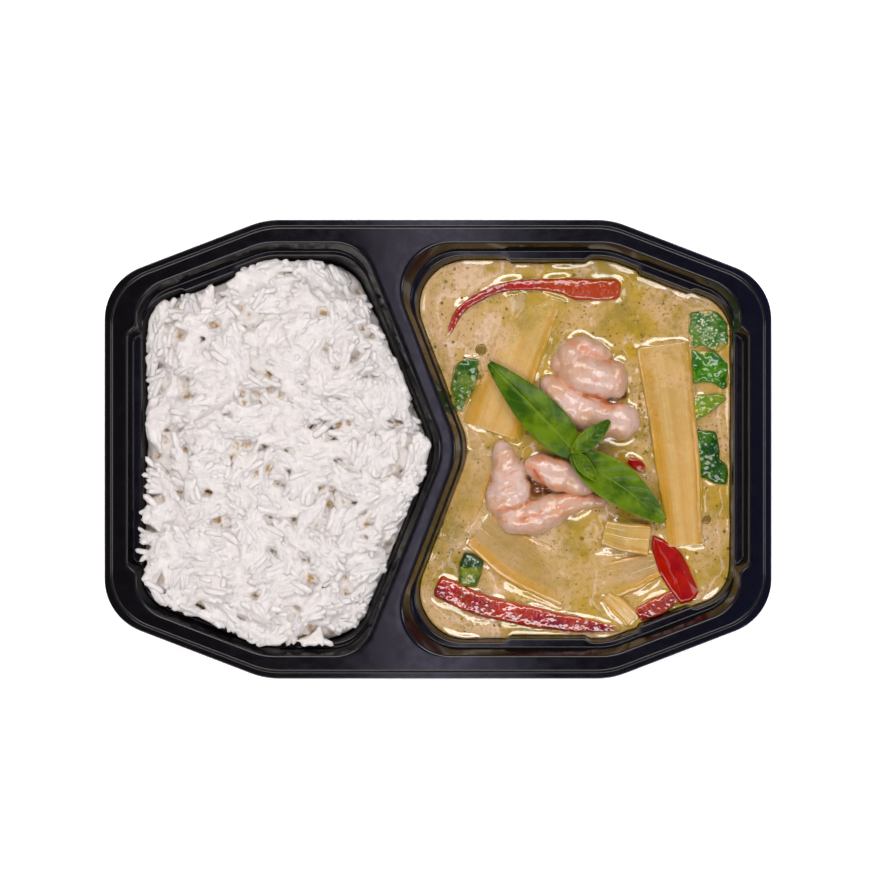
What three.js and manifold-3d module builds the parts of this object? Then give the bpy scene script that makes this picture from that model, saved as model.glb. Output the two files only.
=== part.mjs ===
// Thai green curry ready meal: a black two-compartment tray with white rice in the left well
// and a green curry with prawns, bamboo shoots, peppers and basil in the right well.
// Millimetres, +X along the tray with the curry on the +X side, +Z up, origin under the middle.

import * as THREE from 'three';
import { mergeVertices } from 'three/addons/utils/BufferGeometryUtils.js';
import Module from 'manifold-3d';

const wasm = await Module();
wasm.setup();

// ---------------------------------------------------------------- driving dimensions

const GAP = 0.3; // clearance between pieces that touch
const ARC_STEP = 0.45; // radians of turn for each facet of a rounded corner

const TRAY = {
  halfLength: 125,
  halfWidth: 86,
  halfStraight: 65, // the long edges run straight this far each side, then slope away
  slope: 0.384, // fall of the sloping edges across the tray for each millimetre along it
  rim: 38, // height of the flange
  wall: 0.8,
  endCorner: 21,
  sideCorner: 30,
};

const LIP = {
  drop: 1.1, // the outer lip lies this much below the flange
  edge: 1.4, // height of the turned-down outer edge
  width: 2.4,
  ramp: 0.7,
};

const WELL = {
  halfWidth: 77.3,
  straightTo: 65.3,
  end: 112.8,
  riceDividerFoot: -28.8, // where the divider meets the long wall, on the rice side
  riceApex: 2.2,
  curryDividerFoot: -21.5,
  curryApex: 8.1,
  endCorner: 15,
  sideCorner: 25,
  riceCorner: 15,
  curryCorner: 18,
  riceApexRadius: 22,
  curryApexRadius: 24,
  shelf: 3.4, // extra reach of the end shelves above the ledge
  lug: 1.4, // reach of the stacking lugs below the ledge
};

// Fall of the well walls: for each depth below the flange, how far the long walls, the end walls
// and the divider walls have come in, and how much of the end shelves and of the lugs is there.
const WALL_PROFILE = [
  { depth: -6, wall: 0, end: 0, divider: 0, shelf: 1, lug: 0 },
  { depth: 0, wall: 0, end: 0, divider: 0, shelf: 1, lug: 0 },
  { depth: 0.5, wall: 0.5, end: 0.4, divider: 0.5, shelf: 1, lug: 0 },
  { depth: 6, wall: 2.6, end: 1.2, divider: 2.2, shelf: 1, lug: 0 },
  { depth: 6.6, wall: 4.4, end: 1.3, divider: 2.8, shelf: 0, lug: 1 },
  { depth: 30, wall: 9.5, end: 6, divider: 9, shelf: 0, lug: 0.6 },
  { depth: 35, wall: 12, end: 9, divider: 12, shelf: 0, lug: 0 },
  { depth: 37.2, wall: 17, end: 14, divider: 17, shelf: 0, lug: 0 },
];

const RICE = {
  crown: 41, // height of the heap's middle
  edge: 30.5, // height at which the heap meets the walls
  tilt: 4.5, // the heap is this much lower along the far wall, and higher along the near one
  rise: 17, // distance over which the heap climbs from the walls
  lumpHeight: 1.5,
  lumpLength: 26, // mean wavelength of the soft lumps
  lumpWaves: 7,
  grid: 4, // spacing of the surface points
  seed: 7,
};

// Corners of the well where the heap falls away and leaves the wall bare.
const RICE_HOLLOWS = [
  { x: -31, y: 71, radius: 15, depth: 9 },
  { x: -30, y: -70, radius: 13, depth: 9 },
];

const GRAIN = {
  length: 8.5,
  width: 2.3,
  sides: 6,
  shoulder: 0.55, // share of the half length that is full belly
  ridges: 1500, // grain-sized ridges over the whole heap
  ridgeLow: 0.8, // height of the lowest ridge
  ridgeRange: 1.4, // and how much higher the highest one is
  loose: 22, // whole grains fused on
  spacing: 12, // least distance between loose grains
  lift: 1.7, // height of a loose grain's middle above the bare heap
  tip: 0.8, // range of a loose grain's tilt, radians
};

const SAUCE_LEVEL = 26;
const PIECE_DRAUGHT = 3.5; // what lies in the sauce is modelled down to this depth in it

const SWELLING = {
  overlap: 1.12, // reach of a prawn's swellings, in spacings
  sides: 6,
  rings: 4,
};

const ROUND_END = {
  trim: 0.06, // share of the path's stations left off at each rounded end
  point: 0.3, // how far the end's tip stands out
};

const LEAF = {
  trim: 0.04, // share of the outline's taper left off at each end
  bluntness: 0.85, // below 1 the margins bulge
  tip: 0.35, // half width left at the very tip
  waveRate: 17, // waves along the margin, in radians over the leaf's length
};

// ---------------------------------------------------------------- closed solids

/** A closed manifold solid from a three.js geometry. */
function solidOf(geometry) {
  const bare = new THREE.BufferGeometry();
  bare.setAttribute('position', geometry.getAttribute('position').clone());
  if (geometry.index) bare.setIndex(geometry.index.clone());
  const merged = mergeVertices(bare, 1e-4);
  const mesh = new wasm.Mesh({
    numProp: 3,
    vertProperties: new Float32Array(merged.getAttribute('position').array),
    triVerts: new Uint32Array(merged.index.array),
  });
  return new wasm.Manifold(mesh);
}

/** The largest body of a solid: scraps that a cut leaves behind are dropped. */
function largestBody(solid) {
  const bodies = solid.decompose();
  return bodies.reduce((best, body) => (body.volume() > best.volume() ? body : best));
}

/** A closed skin through rings of equal length, each end closed by a fan round its hub. */
function loft(rings, firstHub, lastHub) {
  const count = rings[0].length;
  const hub = rings.length * count;
  const lastRing = hub - count;
  const index = [];
  for (let ring = 0; ring + 1 < rings.length; ring++) {
    for (let j = 0; j < count; j++) {
      const a = ring * count + j;
      const b = ring * count + ((j + 1) % count);
      index.push(a, b, b + count, a, b + count, a + count);
    }
  }
  for (let j = 0; j < count; j++) {
    const next = (j + 1) % count;
    index.push(next, j, hub);
    index.push(lastRing + j, lastRing + next, hub + 1);
  }
  const geometry = new THREE.BufferGeometry();
  geometry.setFromPoints([...rings.flat(), firstHub, lastHub]);
  geometry.setIndex(index);
  return solidOf(geometry);
}

/** Seeded random numbers from 0 to 1. */
function randomFrom(seed) {
  let state = seed;
  return () => {
    state = (state + 0x6d2b79f5) | 0;
    let mixed = Math.imul(state ^ (state >>> 15), 1 | state);
    mixed = (mixed + Math.imul(mixed ^ (mixed >>> 7), 61 | mixed)) ^ mixed;
    return ((mixed ^ (mixed >>> 14)) >>> 0) / 4294967296;
  };
}

// ---------------------------------------------------------------- outlines

/** A side of an outline: the corner it starts at, that corner's radius, and what it carries. */
function side(x, y, radius, kind = 'wall', feature = null) {
  return { start: new THREE.Vector2(x, y), radius, kind, feature };
}

/** Sides, given counterclockwise, with their directions and inward normals worked out. */
function outlineOf(sides) {
  return sides.map((item, i) => {
    const end = sides[(i + 1) % sides.length].start;
    const along = end.clone().sub(item.start).normalize();
    return { ...item, along, inward: new THREE.Vector2(-along.y, along.x) };
  });
}

/** Where two lines cross, each given by a point and a direction. */
function crossing(pointA, alongA, pointB, alongB) {
  const between = pointB.clone().sub(pointA);
  const t = between.cross(alongB) / alongA.cross(alongB);
  return pointA.clone().addScaledVector(alongA, t);
}

/** Facet points of the arc that rounds a corner between two directions. */
function cornerArc(corner, before, after, radius) {
  const turn = Math.atan2(before.cross(after), before.dot(after));
  const steps = Math.ceil(Math.abs(turn) / ARC_STEP);
  const reach = radius * Math.tan(Math.abs(turn) / 2);
  const start = corner.clone().addScaledVector(before, -reach);
  const toCentre = new THREE.Vector2(-before.y, before.x).multiplyScalar(Math.sign(turn) * radius);
  const centre = start.clone().add(toCentre);
  const points = [];
  for (let i = 0; i <= steps; i++) {
    points.push(start.clone().rotateAround(centre, (turn * i) / steps));
  }
  return points;
}

/** One level ring of an outline: inset(kind) moves each side in, push(feature) its features. */
function ringOf(outline, z, inset, push) {
  const feet = outline.map((item) => item.start.clone().addScaledVector(item.inward, inset(item.kind)));
  const arcs = outline.map((item, i) => {
    const before = outline.at(i - 1);
    const corner = crossing(feet.at(i - 1), before.along, feet[i], item.along);
    return cornerArc(corner, before.along, item.along, item.radius);
  });
  const ring = outline.flatMap((item, i) => {
    if (!item.feature) return arcs[i];
    const { name, from, to, ramp } = item.feature;
    const start = arcs[i].at(-1);
    const end = arcs[(i + 1) % arcs.length][0];
    const stations = [[from, 0], [from + ramp, push(name)], [to - ramp, push(name)], [to, 0]];
    const steps = stations.map(([share, reach]) =>
      start.clone().lerp(end, share).addScaledVector(item.inward, reach));
    return [...arcs[i], ...steps];
  });
  return ring.map((point) => new THREE.Vector3(point.x, point.y, z));
}

// ---------------------------------------------------------------- the tray

const lugAt = (from, to) => ({ name: 'lug', from, to, ramp: 0.05 });
const END_SHELF = { name: 'shelf', from: 0.02, to: 0.98, ramp: 0.04 };
const WELL_END_HALF = WELL.halfWidth - TRAY.slope * (WELL.end - WELL.straightTo);
const TRAY_END_HALF = TRAY.halfWidth - TRAY.slope * (TRAY.halfLength - TRAY.halfStraight);

const RIM_OUTLINE = outlineOf([
  side(TRAY.halfStraight, TRAY.halfWidth, TRAY.sideCorner),
  side(-TRAY.halfStraight, TRAY.halfWidth, TRAY.sideCorner),
  side(-TRAY.halfLength, TRAY_END_HALF, TRAY.endCorner),
  side(-TRAY.halfLength, -TRAY_END_HALF, TRAY.endCorner),
  side(-TRAY.halfStraight, -TRAY.halfWidth, TRAY.sideCorner),
  side(TRAY.halfStraight, -TRAY.halfWidth, TRAY.sideCorner),
  side(TRAY.halfLength, -TRAY_END_HALF, TRAY.endCorner),
  side(TRAY.halfLength, TRAY_END_HALF, TRAY.endCorner),
]);

const ABOVE_RIM = WALL_PROFILE[0].depth; // cutting forms start here, clear of the flange

const RICE_WELL = {
  hub: new THREE.Vector2(-55, 0),
  outline: outlineOf([
    side(WELL.riceDividerFoot, WELL.halfWidth, WELL.riceCorner),
    side(-WELL.straightTo, WELL.halfWidth, WELL.sideCorner, 'wall', lugAt(0.2, 0.86)),
    side(-WELL.end, WELL_END_HALF, WELL.endCorner, 'end', END_SHELF),
    side(-WELL.end, -WELL_END_HALF, WELL.endCorner, 'wall', lugAt(0.14, 0.8)),
    side(-WELL.straightTo, -WELL.halfWidth, WELL.sideCorner),
    side(WELL.riceDividerFoot, -WELL.halfWidth, WELL.riceCorner, 'divider'),
    side(WELL.riceApex, 0, WELL.riceApexRadius, 'divider'),
  ]),
};

const CURRY_WELL = {
  hub: new THREE.Vector2(62, 0),
  outline: outlineOf([
    side(WELL.curryDividerFoot, WELL.halfWidth, WELL.curryCorner, 'divider'),
    side(WELL.curryApex, 0, WELL.curryApexRadius, 'divider'),
    side(WELL.curryDividerFoot, -WELL.halfWidth, WELL.curryCorner, 'wall', lugAt(0.3, 0.96)),
    side(WELL.straightTo, -WELL.halfWidth, WELL.sideCorner, 'wall', lugAt(0.2, 0.86)),
    side(WELL.end, -WELL_END_HALF, WELL.endCorner, 'end', END_SHELF),
    side(WELL.end, WELL_END_HALF, WELL.endCorner, 'wall', lugAt(0.14, 0.8)),
    side(WELL.straightTo, WELL.halfWidth, WELL.sideCorner, 'wall', lugAt(0.04, 0.7)),
  ]),
};

/** The wall profile at any depth, between the two stations round it. */
function profileAt(depth) {
  const next = Math.max(1, WALL_PROFILE.findIndex((station) => station.depth >= depth));
  const above = WALL_PROFILE[next - 1];
  const below = WALL_PROFILE[next];
  const share = (depth - above.depth) / (below.depth - above.depth);
  const keys = ['wall', 'end', 'divider', 'shelf', 'lug'];
  return Object.fromEntries(keys.map((key) => [key, THREE.MathUtils.lerp(above[key], below[key], share)]));
}

/** A well's inner form as a solid between two depths, drawn in by margin from walls and floor. */
function wellSolid(well, margin, topDepth, floorDepth = WALL_PROFILE.at(-1).depth) {
  const between = WALL_PROFILE.map((station) => station.depth)
    .filter((depth) => depth > topDepth && depth < floorDepth);
  const rings = [topDepth, ...between, floorDepth].reverse().map((depth) => {
    const shape = profileAt(depth);
    const push = { shelf: -WELL.shelf * shape.shelf, lug: WELL.lug * shape.lug };
    const lift = depth === topDepth ? 0 : margin;
    return ringOf(
      well.outline,
      TRAY.rim - depth + lift,
      (kind) => shape[kind] + margin,
      (name) => push[name],
    );
  });
  const hubAt = (ring) => new THREE.Vector3(well.hub.x, well.hub.y, ring[0].z);
  return loft(rings, hubAt(rings[0]), hubAt(rings.at(-1)));
}

/** The flange with its stepped-down lip and turned-down edge, still without the wells. */
function flangePlate() {
  const top = TRAY.rim;
  const lipTop = top - LIP.drop;
  const under = TRAY.wall;
  const stations = [
    [LIP.width + LIP.ramp + under, top - under],
    [LIP.width + under, lipTop - under],
    [under, lipTop - under],
    [under, lipTop - LIP.edge],
    [0, lipTop - LIP.edge],
    [0, lipTop],
    [LIP.width, lipTop],
    [LIP.width + LIP.ramp, top],
  ];
  const rings = stations.map(([inset, z]) => ringOf(RIM_OUTLINE, z, () => inset, () => 0));
  return loft(rings, new THREE.Vector3(0, 0, top - under), new THREE.Vector3(0, 0, top));
}

/** The thermoformed tray: flange and both wells, one even wall, open underneath at the divider. */
function traySolid() {
  const shellTop = TRAY.wall / 2;
  const wells = [RICE_WELL, CURRY_WELL];
  const outside = wells.map((well) => wellSolid(well, -TRAY.wall, shellTop));
  const inside = wells.map((well) => wellSolid(well, 0, ABOVE_RIM));
  const shell = outside.reduce((sum, well) => sum.add(well), flangePlate());
  return inside.reduce((rest, well) => rest.subtract(well), shell);
}

// ---------------------------------------------------------------- the rice

/** Soft uneven ground: a few long waves in seeded directions. */
function unevenness(random, wavelength, count) {
  const waves = Array.from({ length: count }, () => {
    const heading = random() * Math.PI * 2;
    const stretch = THREE.MathUtils.lerp(0.7, 1.3, random());
    const pitch = (Math.PI * 2) / (wavelength * stretch);
    const phase = random() * Math.PI * 2;
    return { x: Math.cos(heading) * pitch, y: Math.sin(heading) * pitch, phase };
  });
  return (x, y) => waves.reduce((sum, w) => sum + Math.sin(x * w.x + y * w.y + w.phase), 0) / count;
}

/** How far a point lies inside the rice well's walls at the flange. */
function insideRiceWell(x, y) {
  const point = new THREE.Vector2(x, y);
  return Math.min(...RICE_WELL.outline.map((item) => point.clone().sub(item.start).dot(item.inward)));
}

/** Height of the heap without its grains: a mound that falls to the walls, hollow at two corners. */
function moundHeight(x, y, lumps) {
  const climb = 1 - Math.exp(-Math.max(insideRiceWell(x, y), 0) / RICE.rise);
  const edge = RICE.edge - (RICE.tilt * y) / WELL.halfWidth;
  const hollows = RICE_HOLLOWS.map((hollow) =>
    hollow.depth * Math.exp(-((x - hollow.x) ** 2 + (y - hollow.y) ** 2) / hollow.radius ** 2));
  const bare = edge + (RICE.crown - edge) * climb + RICE.lumpHeight * lumps(x, y);
  return hollows.reduce((height, fall) => height - fall, bare);
}

/** Ridges of a grain's size, scattered at random: the highest one at a point counts. */
function grainRidges(random) {
  const cell = GRAIN.length;
  const cells = new Map();
  const keyOf = (i, j) => `${i},${j}`;
  for (let n = 0; n < GRAIN.ridges; n++) {
    const x = -WELL.end + random() * (WELL.end + WELL.riceApex);
    const y = (random() * 2 - 1) * WELL.halfWidth;
    const heading = random() * Math.PI;
    const ridge = { x, y, heading, height: GRAIN.ridgeLow + GRAIN.ridgeRange * random() };
    const key = keyOf(Math.floor(x / cell), Math.floor(y / cell));
    cells.set(key, [...(cells.get(key) ?? []), ridge]);
  }
  const heightOf = (ridge, x, y) => {
    const dx = x - ridge.x;
    const dy = y - ridge.y;
    const alongBy = dx * Math.cos(ridge.heading) + dy * Math.sin(ridge.heading);
    const acrossBy = dy * Math.cos(ridge.heading) - dx * Math.sin(ridge.heading);
    const along = alongBy / (GRAIN.length / 2);
    const across = acrossBy / GRAIN.width;
    return ridge.height * Math.max(0, 1 - along ** 2) * Math.max(0, 1 - across ** 2);
  };
  return (x, y) => {
    let highest = 0;
    for (const i of [-1, 0, 1]) {
      for (const j of [-1, 0, 1]) {
        const key = keyOf(Math.floor(x / cell) + i, Math.floor(y / cell) + j);
        for (const ridge of cells.get(key) ?? []) highest = Math.max(highest, heightOf(ridge, x, y));
      }
    }
    return highest;
  };
}

/** A block over the rice well whose top face is the heap's uneven surface. */
function moundSolid(heightAt) {
  const length = WELL.end + WELL.riceApex + 2 * WELL.shelf;
  const width = 2 * (WELL.halfWidth + TRAY.wall);
  const columns = Math.round(length / RICE.grid);
  const rows = Math.round(width / RICE.grid);
  const geometry = new THREE.BoxGeometry(length, width, 2 * GAP, columns, rows, 1);
  geometry.translate((WELL.riceApex - WELL.end) / 2, 0, 0);
  const position = geometry.getAttribute('position');
  for (let i = 0; i < position.count; i++) {
    if (position.getZ(i) < 0) continue;
    position.setZ(i, heightAt(position.getX(i), position.getY(i)));
  }
  return solidOf(geometry);
}

/** One cooked long grain lying along X: pointed ends and a six-sided belly. */
function grainGeometry() {
  const half = GRAIN.length / 2;
  const belly = GRAIN.width / 2;
  const shoulder = half * GRAIN.shoulder;
  const profile = [[0, -half], [belly, -shoulder], [belly, shoulder], [0, half]];
  const points = profile.map(([x, y]) => new THREE.Vector2(x, y));
  return new THREE.LatheGeometry(points, GRAIN.sides).rotateZ(Math.PI / 2);
}

/** Whole grains half sunk in the heap, spread evenly and pointing every way. */
function looseGrains(random, heightAt) {
  const places = [];
  const apart = (x, y) => places.every((place) => Math.hypot(place.x - x, place.y - y) > GRAIN.spacing);
  while (places.length < GRAIN.loose) {
    const x = THREE.MathUtils.lerp(-WELL.end, WELL.riceApex, random());
    const y = THREE.MathUtils.lerp(-WELL.halfWidth, WELL.halfWidth, random());
    const tip = (random() - 0.5) * GRAIN.tip;
    const turn = new THREE.Euler(0, tip, random() * Math.PI * 2, 'ZYX');
    if (insideRiceWell(x, y) > GRAIN.spacing && apart(x, y)) places.push({ x, y, turn });
  }
  return places.map(({ x, y, turn }) => {
    const placing = new THREE.Matrix4().makeRotationFromEuler(turn);
    placing.setPosition(x, y, heightAt(x, y));
    return solidOf(grainGeometry().applyMatrix4(placing));
  });
}

/** The heap of rice: a bumpy core with whole grains fused on, clear of the well's walls. */
function riceSolid() {
  const random = randomFrom(RICE.seed);
  const lumps = unevenness(random, RICE.lumpLength, RICE.lumpWaves);
  const ridges = grainRidges(random);
  const heightAt = (x, y) => moundHeight(x, y, lumps) + ridges(x, y);
  const grains = looseGrains(random, (x, y) => moundHeight(x, y, lumps) + GRAIN.lift);
  const heap = wasm.Manifold.union([moundSolid(heightAt), ...grains]);
  return largestBody(heap.intersect(wellSolid(RICE_WELL, GAP, ABOVE_RIM)));
}

// ---------------------------------------------------------------- forms of the curry's pieces

/** A value from a list of stations spread evenly along a piece, smoothed between them. */
function alongPiece(values, share) {
  const place = share * (values.length - 1);
  const first = Math.min(Math.floor(place), values.length - 2);
  const blend = THREE.MathUtils.smoothstep(place - first, 0, 1);
  return THREE.MathUtils.lerp(values[first], values[first + 1], blend);
}

/** Direction along a piece, and the level and upright directions of its section there. */
function sectionAxes(path, share, roll) {
  const along = path.getTangentAt(share);
  const level = new THREE.Vector3(0, 0, 1).cross(along).normalize();
  const upright = along.clone().cross(level);
  return {
    level: level.applyAxisAngle(along, roll),
    upright: upright.applyAxisAngle(along, roll),
  };
}

/**
 * A solid drawn along a path of [x, y, z] points: breadths and heights are the section's half
 * sizes at even stations, squareness 2 is an ellipse and 6 nearly a rectangle, roll turns the
 * section about the path, and round ends taper over their own half breadth.
 */
function drawnSolid(piece, grow) {
  const { points, breadths, heights, squareness = 2, roll = 0, round = false } = piece;
  const { rings: ringCount = 6, facets = 8 } = piece;
  const path = new THREE.CatmullRomCurve3(points.map((point) => new THREE.Vector3(...point)));
  const length = path.getLength();
  const rings = [];
  const hubs = [];
  for (let i = 0; i <= ringCount; i++) {
    const even = i / ringCount;
    const trimmed = THREE.MathUtils.lerp(ROUND_END.trim, 1 - ROUND_END.trim, even);
    const share = round ? (1 - Math.cos(Math.PI * trimmed)) / 2 : even;
    const breadth = alongPiece(breadths, share);
    const height = alongPiece(heights, share);
    const fromEnd = (Math.min(share, 1 - share) * length) / breadth;
    const taper = round && fromEnd < 1 ? Math.sqrt(1 - (1 - fromEnd) ** 2) : 1;
    const { level, upright } = sectionAxes(path, share, roll);
    const shift = i === 0 ? -grow : i === ringCount ? grow : 0;
    const centre = path.getPointAt(share).addScaledVector(path.getTangentAt(share), shift);
    const ring = [];
    for (let j = 0; j < facets; j++) {
      const angle = (2 * Math.PI * (j + 0.5)) / facets;
      const flat = (value) => Math.sign(value) * Math.abs(value) ** (2 / squareness);
      const acrossBy = flat(Math.cos(angle)) * (breadth * taper + grow);
      const upBy = flat(Math.sin(angle)) * (height * taper + grow);
      ring.push(centre.clone().addScaledVector(level, acrossBy).addScaledVector(upright, upBy));
    }
    rings.push(ring);
    hubs.push(centre);
  }
  const endOut = round ? ROUND_END.point : 0;
  const firstHub = hubs[0].clone().addScaledVector(path.getTangentAt(0), -endOut);
  const lastHub = hubs.at(-1).clone().addScaledVector(path.getTangentAt(1), endOut);
  return loft(rings, firstHub, lastHub);
}

/**
 * A thin leaf along a path: two faces split into triangles alike, a raised or sunk midrib
 * (fold) and a few waves along its margin.
 */
function leafSolid(leaf, grow) {
  const { points, halfWidth, widest = 0.45, fold = 0, waves = 0, roll = 0 } = leaf;
  const { along: alongCount = 10, across: acrossCount = 4, thickness = 0.7 } = leaf;
  const path = new THREE.CatmullRomCurve3(points.map((point) => new THREE.Vector3(...point)));
  const power = Math.log(0.5) / Math.log(widest);
  const faces = { top: [], bottom: [] };
  for (let i = 0; i <= alongCount; i++) {
    const share = i / alongCount;
    const shaped = THREE.MathUtils.lerp(LEAF.trim, 1 - LEAF.trim, share);
    const taper = Math.sin(Math.PI * shaped ** power) ** LEAF.bluntness;
    const width = halfWidth * taper + LEAF.tip + grow;
    const { level, upright } = sectionAxes(path, share, roll);
    const centre = path.getPointAt(share);
    for (let j = 0; j <= acrossCount; j++) {
      const across = (2 * j) / acrossCount - 1;
      const wave = waves * Math.sin(share * LEAF.waveRate + across) * across ** 2;
      const lift = fold * Math.abs(across) ** 1.5 + wave;
      const point = centre.clone().addScaledVector(level, across * width);
      faces.top.push(point.clone().addScaledVector(upright, lift + thickness / 2 + grow));
      faces.bottom.push(point.clone().addScaledVector(upright, lift - thickness / 2 - grow));
    }
  }
  return slab(faces, alongCount, acrossCount);
}

/** A closed slab from two grids of points, split into triangles alike. */
function slab(faces, alongCount, acrossCount) {
  const stride = acrossCount + 1;
  const under = faces.top.length;
  const at = (i, j) => i * stride + j;
  const index = [];
  const quad = (a, b, c, d) => index.push(a, b, c, a, c, d);
  for (let i = 0; i < alongCount; i++) {
    for (let j = 0; j < acrossCount; j++) {
      const [a, b, c, d] = [at(i, j), at(i + 1, j), at(i + 1, j + 1), at(i, j + 1)];
      quad(a, b, c, d);
      index.push(under + a, under + c, under + b, under + a, under + d, under + c);
    }
    quad(at(i, 0), under + at(i, 0), under + at(i + 1, 0), at(i + 1, 0));
    const last = acrossCount;
    quad(at(i + 1, last), under + at(i + 1, last), under + at(i, last), at(i, last));
  }
  for (let j = 0; j < acrossCount; j++) {
    quad(at(0, j + 1), under + at(0, j + 1), under + at(0, j), at(0, j));
    const end = alongCount;
    quad(at(end, j), under + at(end, j), under + at(end, j + 1), at(end, j + 1));
  }
  const geometry = new THREE.BufferGeometry();
  geometry.setFromPoints([...faces.top, ...faces.bottom]);
  geometry.setIndex(index);
  return solidOf(geometry);
}

/** A segmented body along a path: overlapping swellings, as a prawn's tail has them. */
function segmentedSolid(body, grow) {
  const { points, breadths, heights, segments } = body;
  const path = new THREE.CatmullRomCurve3(points.map((point) => new THREE.Vector3(...point)));
  const reach = (SWELLING.overlap * path.getLength()) / (segments - 1) + grow;
  const swellings = Array.from({ length: segments }, (_, i) => {
    const share = i / (segments - 1);
    const { level, upright } = sectionAxes(path, share, 0);
    const placing = new THREE.Matrix4().makeBasis(
      path.getTangentAt(share).multiplyScalar(reach),
      level.multiplyScalar(alongPiece(breadths, share) + grow),
      upright.multiplyScalar(alongPiece(heights, share) + grow),
    );
    placing.setPosition(path.getPointAt(share));
    const swelling = new THREE.SphereGeometry(1, SWELLING.sides, SWELLING.rings);
    return solidOf(swelling.applyMatrix4(placing));
  });
  return wasm.Manifold.union(swellings);
}

/** Several forms joined into one piece. */
function joined(parts, grow, build) {
  return wasm.Manifold.union(parts.map((part) => build(part, grow)));
}

// ---------------------------------------------------------------- the curry's pieces

const PRAWNS = {
  prawn_1: [
    {
      points: [[50.5, 30, 27], [58.5, 30.5, 27.4], [65, 25.5, 26.6]],
      breadths: [9, 12.2, 8.4],
      heights: [6.4, 8, 6.2],
      segments: 3,
    },
    {
      points: [[42.5, 27, 25], [47, 20, 26], [55, 14.2, 26.5], [65, 11.2, 26.5], [72.6, 14, 26]],
      breadths: [5.6, 6.4, 6.4, 7, 6.2],
      heights: [4.6, 5.6, 5.8, 6, 5],
      segments: 6,
    },
  ],
  prawn_2: [
    {
      points: [[24.8, -4.8, 28], [26.2, -10, 27.5], [27.3, -17, 27], [28, -23.5, 26]],
      breadths: [3.4, 6, 8.4, 8.2],
      heights: [3.2, 5, 6.2, 6.2],
      segments: 4,
    },
    {
      points: [[28, -24.5, 25], [36, -24, 26.5], [44.5, -20.5, 26.5], [51, -19, 26.5], [56, -19.2, 27]],
      breadths: [7.2, 7.4, 6.4, 4.2, 2.6],
      heights: [5.5, 6, 5.2, 3.4, 2],
      segments: 5,
    },
  ],
  prawn_3: [
    {
      points: [[38, -6.3, 27.4], [44, -8.4, 28], [50.5, -11.2, 27.6], [55, -14, 27]],
      breadths: [5, 6.4, 6.2, 4],
      heights: [4, 5, 4.8, 3.4],
      segments: 4,
    },
  ],
};

const CUT_FORM = { squareness: 12, facets: 4, rings: 4 };

const BAMBOO = {
  bamboo_1: {
    points: [[38.2, 59.5, 25.2], [28.5, 33, 25.6], [19.5, 6.5, 25.8]],
    breadths: [10.2, 10, 11],
    heights: [1.6, 1.8, 1.7],
    roll: 0.03,
  },
  bamboo_2: {
    points: [[85, 40, 25.9], [90, 2, 26.6], [93.8, -36.8, 26]],
    breadths: [10.2, 8.8, 6.8],
    heights: [1.8, 1.9, 1.7],
    roll: -0.05,
  },
  bamboo_3: {
    points: [[15.5, -29.5, 26], [32, -42, 25.6], [51, -51, 24.4]],
    breadths: [8.5, 10, 10.5],
    heights: [1.5, 1.7, 1.5],
    roll: -0.08,
  },
  bamboo_4: {
    points: [[62.5, -31.5, 26.4], [71, -33.5, 27.2], [80.2, -34.5, 27]],
    breadths: [4.8, 5.6, 6],
    heights: [2.2, 2.4, 2.2],
    roll: 0.1,
  },
  bamboo_5: {
    points: [[62, -51, 25], [72, -47.5, 26.3], [84, -43.5, 26]],
    breadths: [7.5, 6.8, 4.6],
    heights: [1.3, 1.4, 1.2],
    roll: -0.1,
  },
  bamboo_6: {
    points: [[63.6, -55.3, 26], [69, -60, 26.4], [74, -65, 25.8]],
    breadths: [2.3, 3.4, 3.6],
    heights: [1.3, 1.4, 1.2],
  },
  bamboo_7: {
    points: [[16.8, -1, 24.9], [11.5, -17, 25.1], [4.5, -34, 24.7]],
    breadths: [6, 6.6, 5],
    heights: [1.4, 1.6, 1.4],
    roll: 0.04,
  },
};

const PEPPER_FORM = { squareness: 3, facets: 6, round: true };

const RED_PEPPERS = {
  red_pepper_1: {
    points: [
      [3, 42, 25.8],
      [9.5, 53.5, 26.4],
      [23.5, 61, 26.4],
      [40, 62.4, 26.2],
      [55, 60.6, 26.2],
      [70, 60.6, 26],
    ],
    breadths: [1.2, 1.6, 1.8, 2.4, 4.4, 4.2],
    heights: [1.4, 2, 2, 2, 2.2, 2],
    rings: 9,
  },
  red_pepper_2: {
    points: [
      [-1, -51.5, 26],
      [15.9, -58.8, 26.8],
      [33.7, -63.1, 26.8],
      [51, -66.2, 26.2],
      [69.5, -68.2, 25.8],
    ],
    breadths: [4.6, 4.2, 4.2, 3.2, 1.4],
    heights: [2.4, 2.6, 2.6, 2.2, 1.4],
    rings: 8,
  },
  red_pepper_3: {
    points: [[84.6, -32, 25.4], [91, -45, 26.8], [97, -59.5, 25.8]],
    breadths: [4.6, 7.2, 5],
    heights: [1.9, 2, 1.9],
    rings: 5,
    roll: 0.12,
  },
  red_pepper_4: {
    points: [[75.2, -63.3, 25.8], [82, -60, 26.3], [90.5, -55.5, 25.6]],
    breadths: [3.2, 3.6, 3.2],
    heights: [1.8, 2, 1.8],
    rings: 5,
  },
  red_pepper_5: {
    points: [[71.5, -3.6, 25.8], [75, -5.6, 26.3], [79, -8.6, 25.6]],
    breadths: [1.6, 2.3, 1.6],
    heights: [1.4, 1.5, 1.3],
    rings: 5,
  },
};

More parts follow.
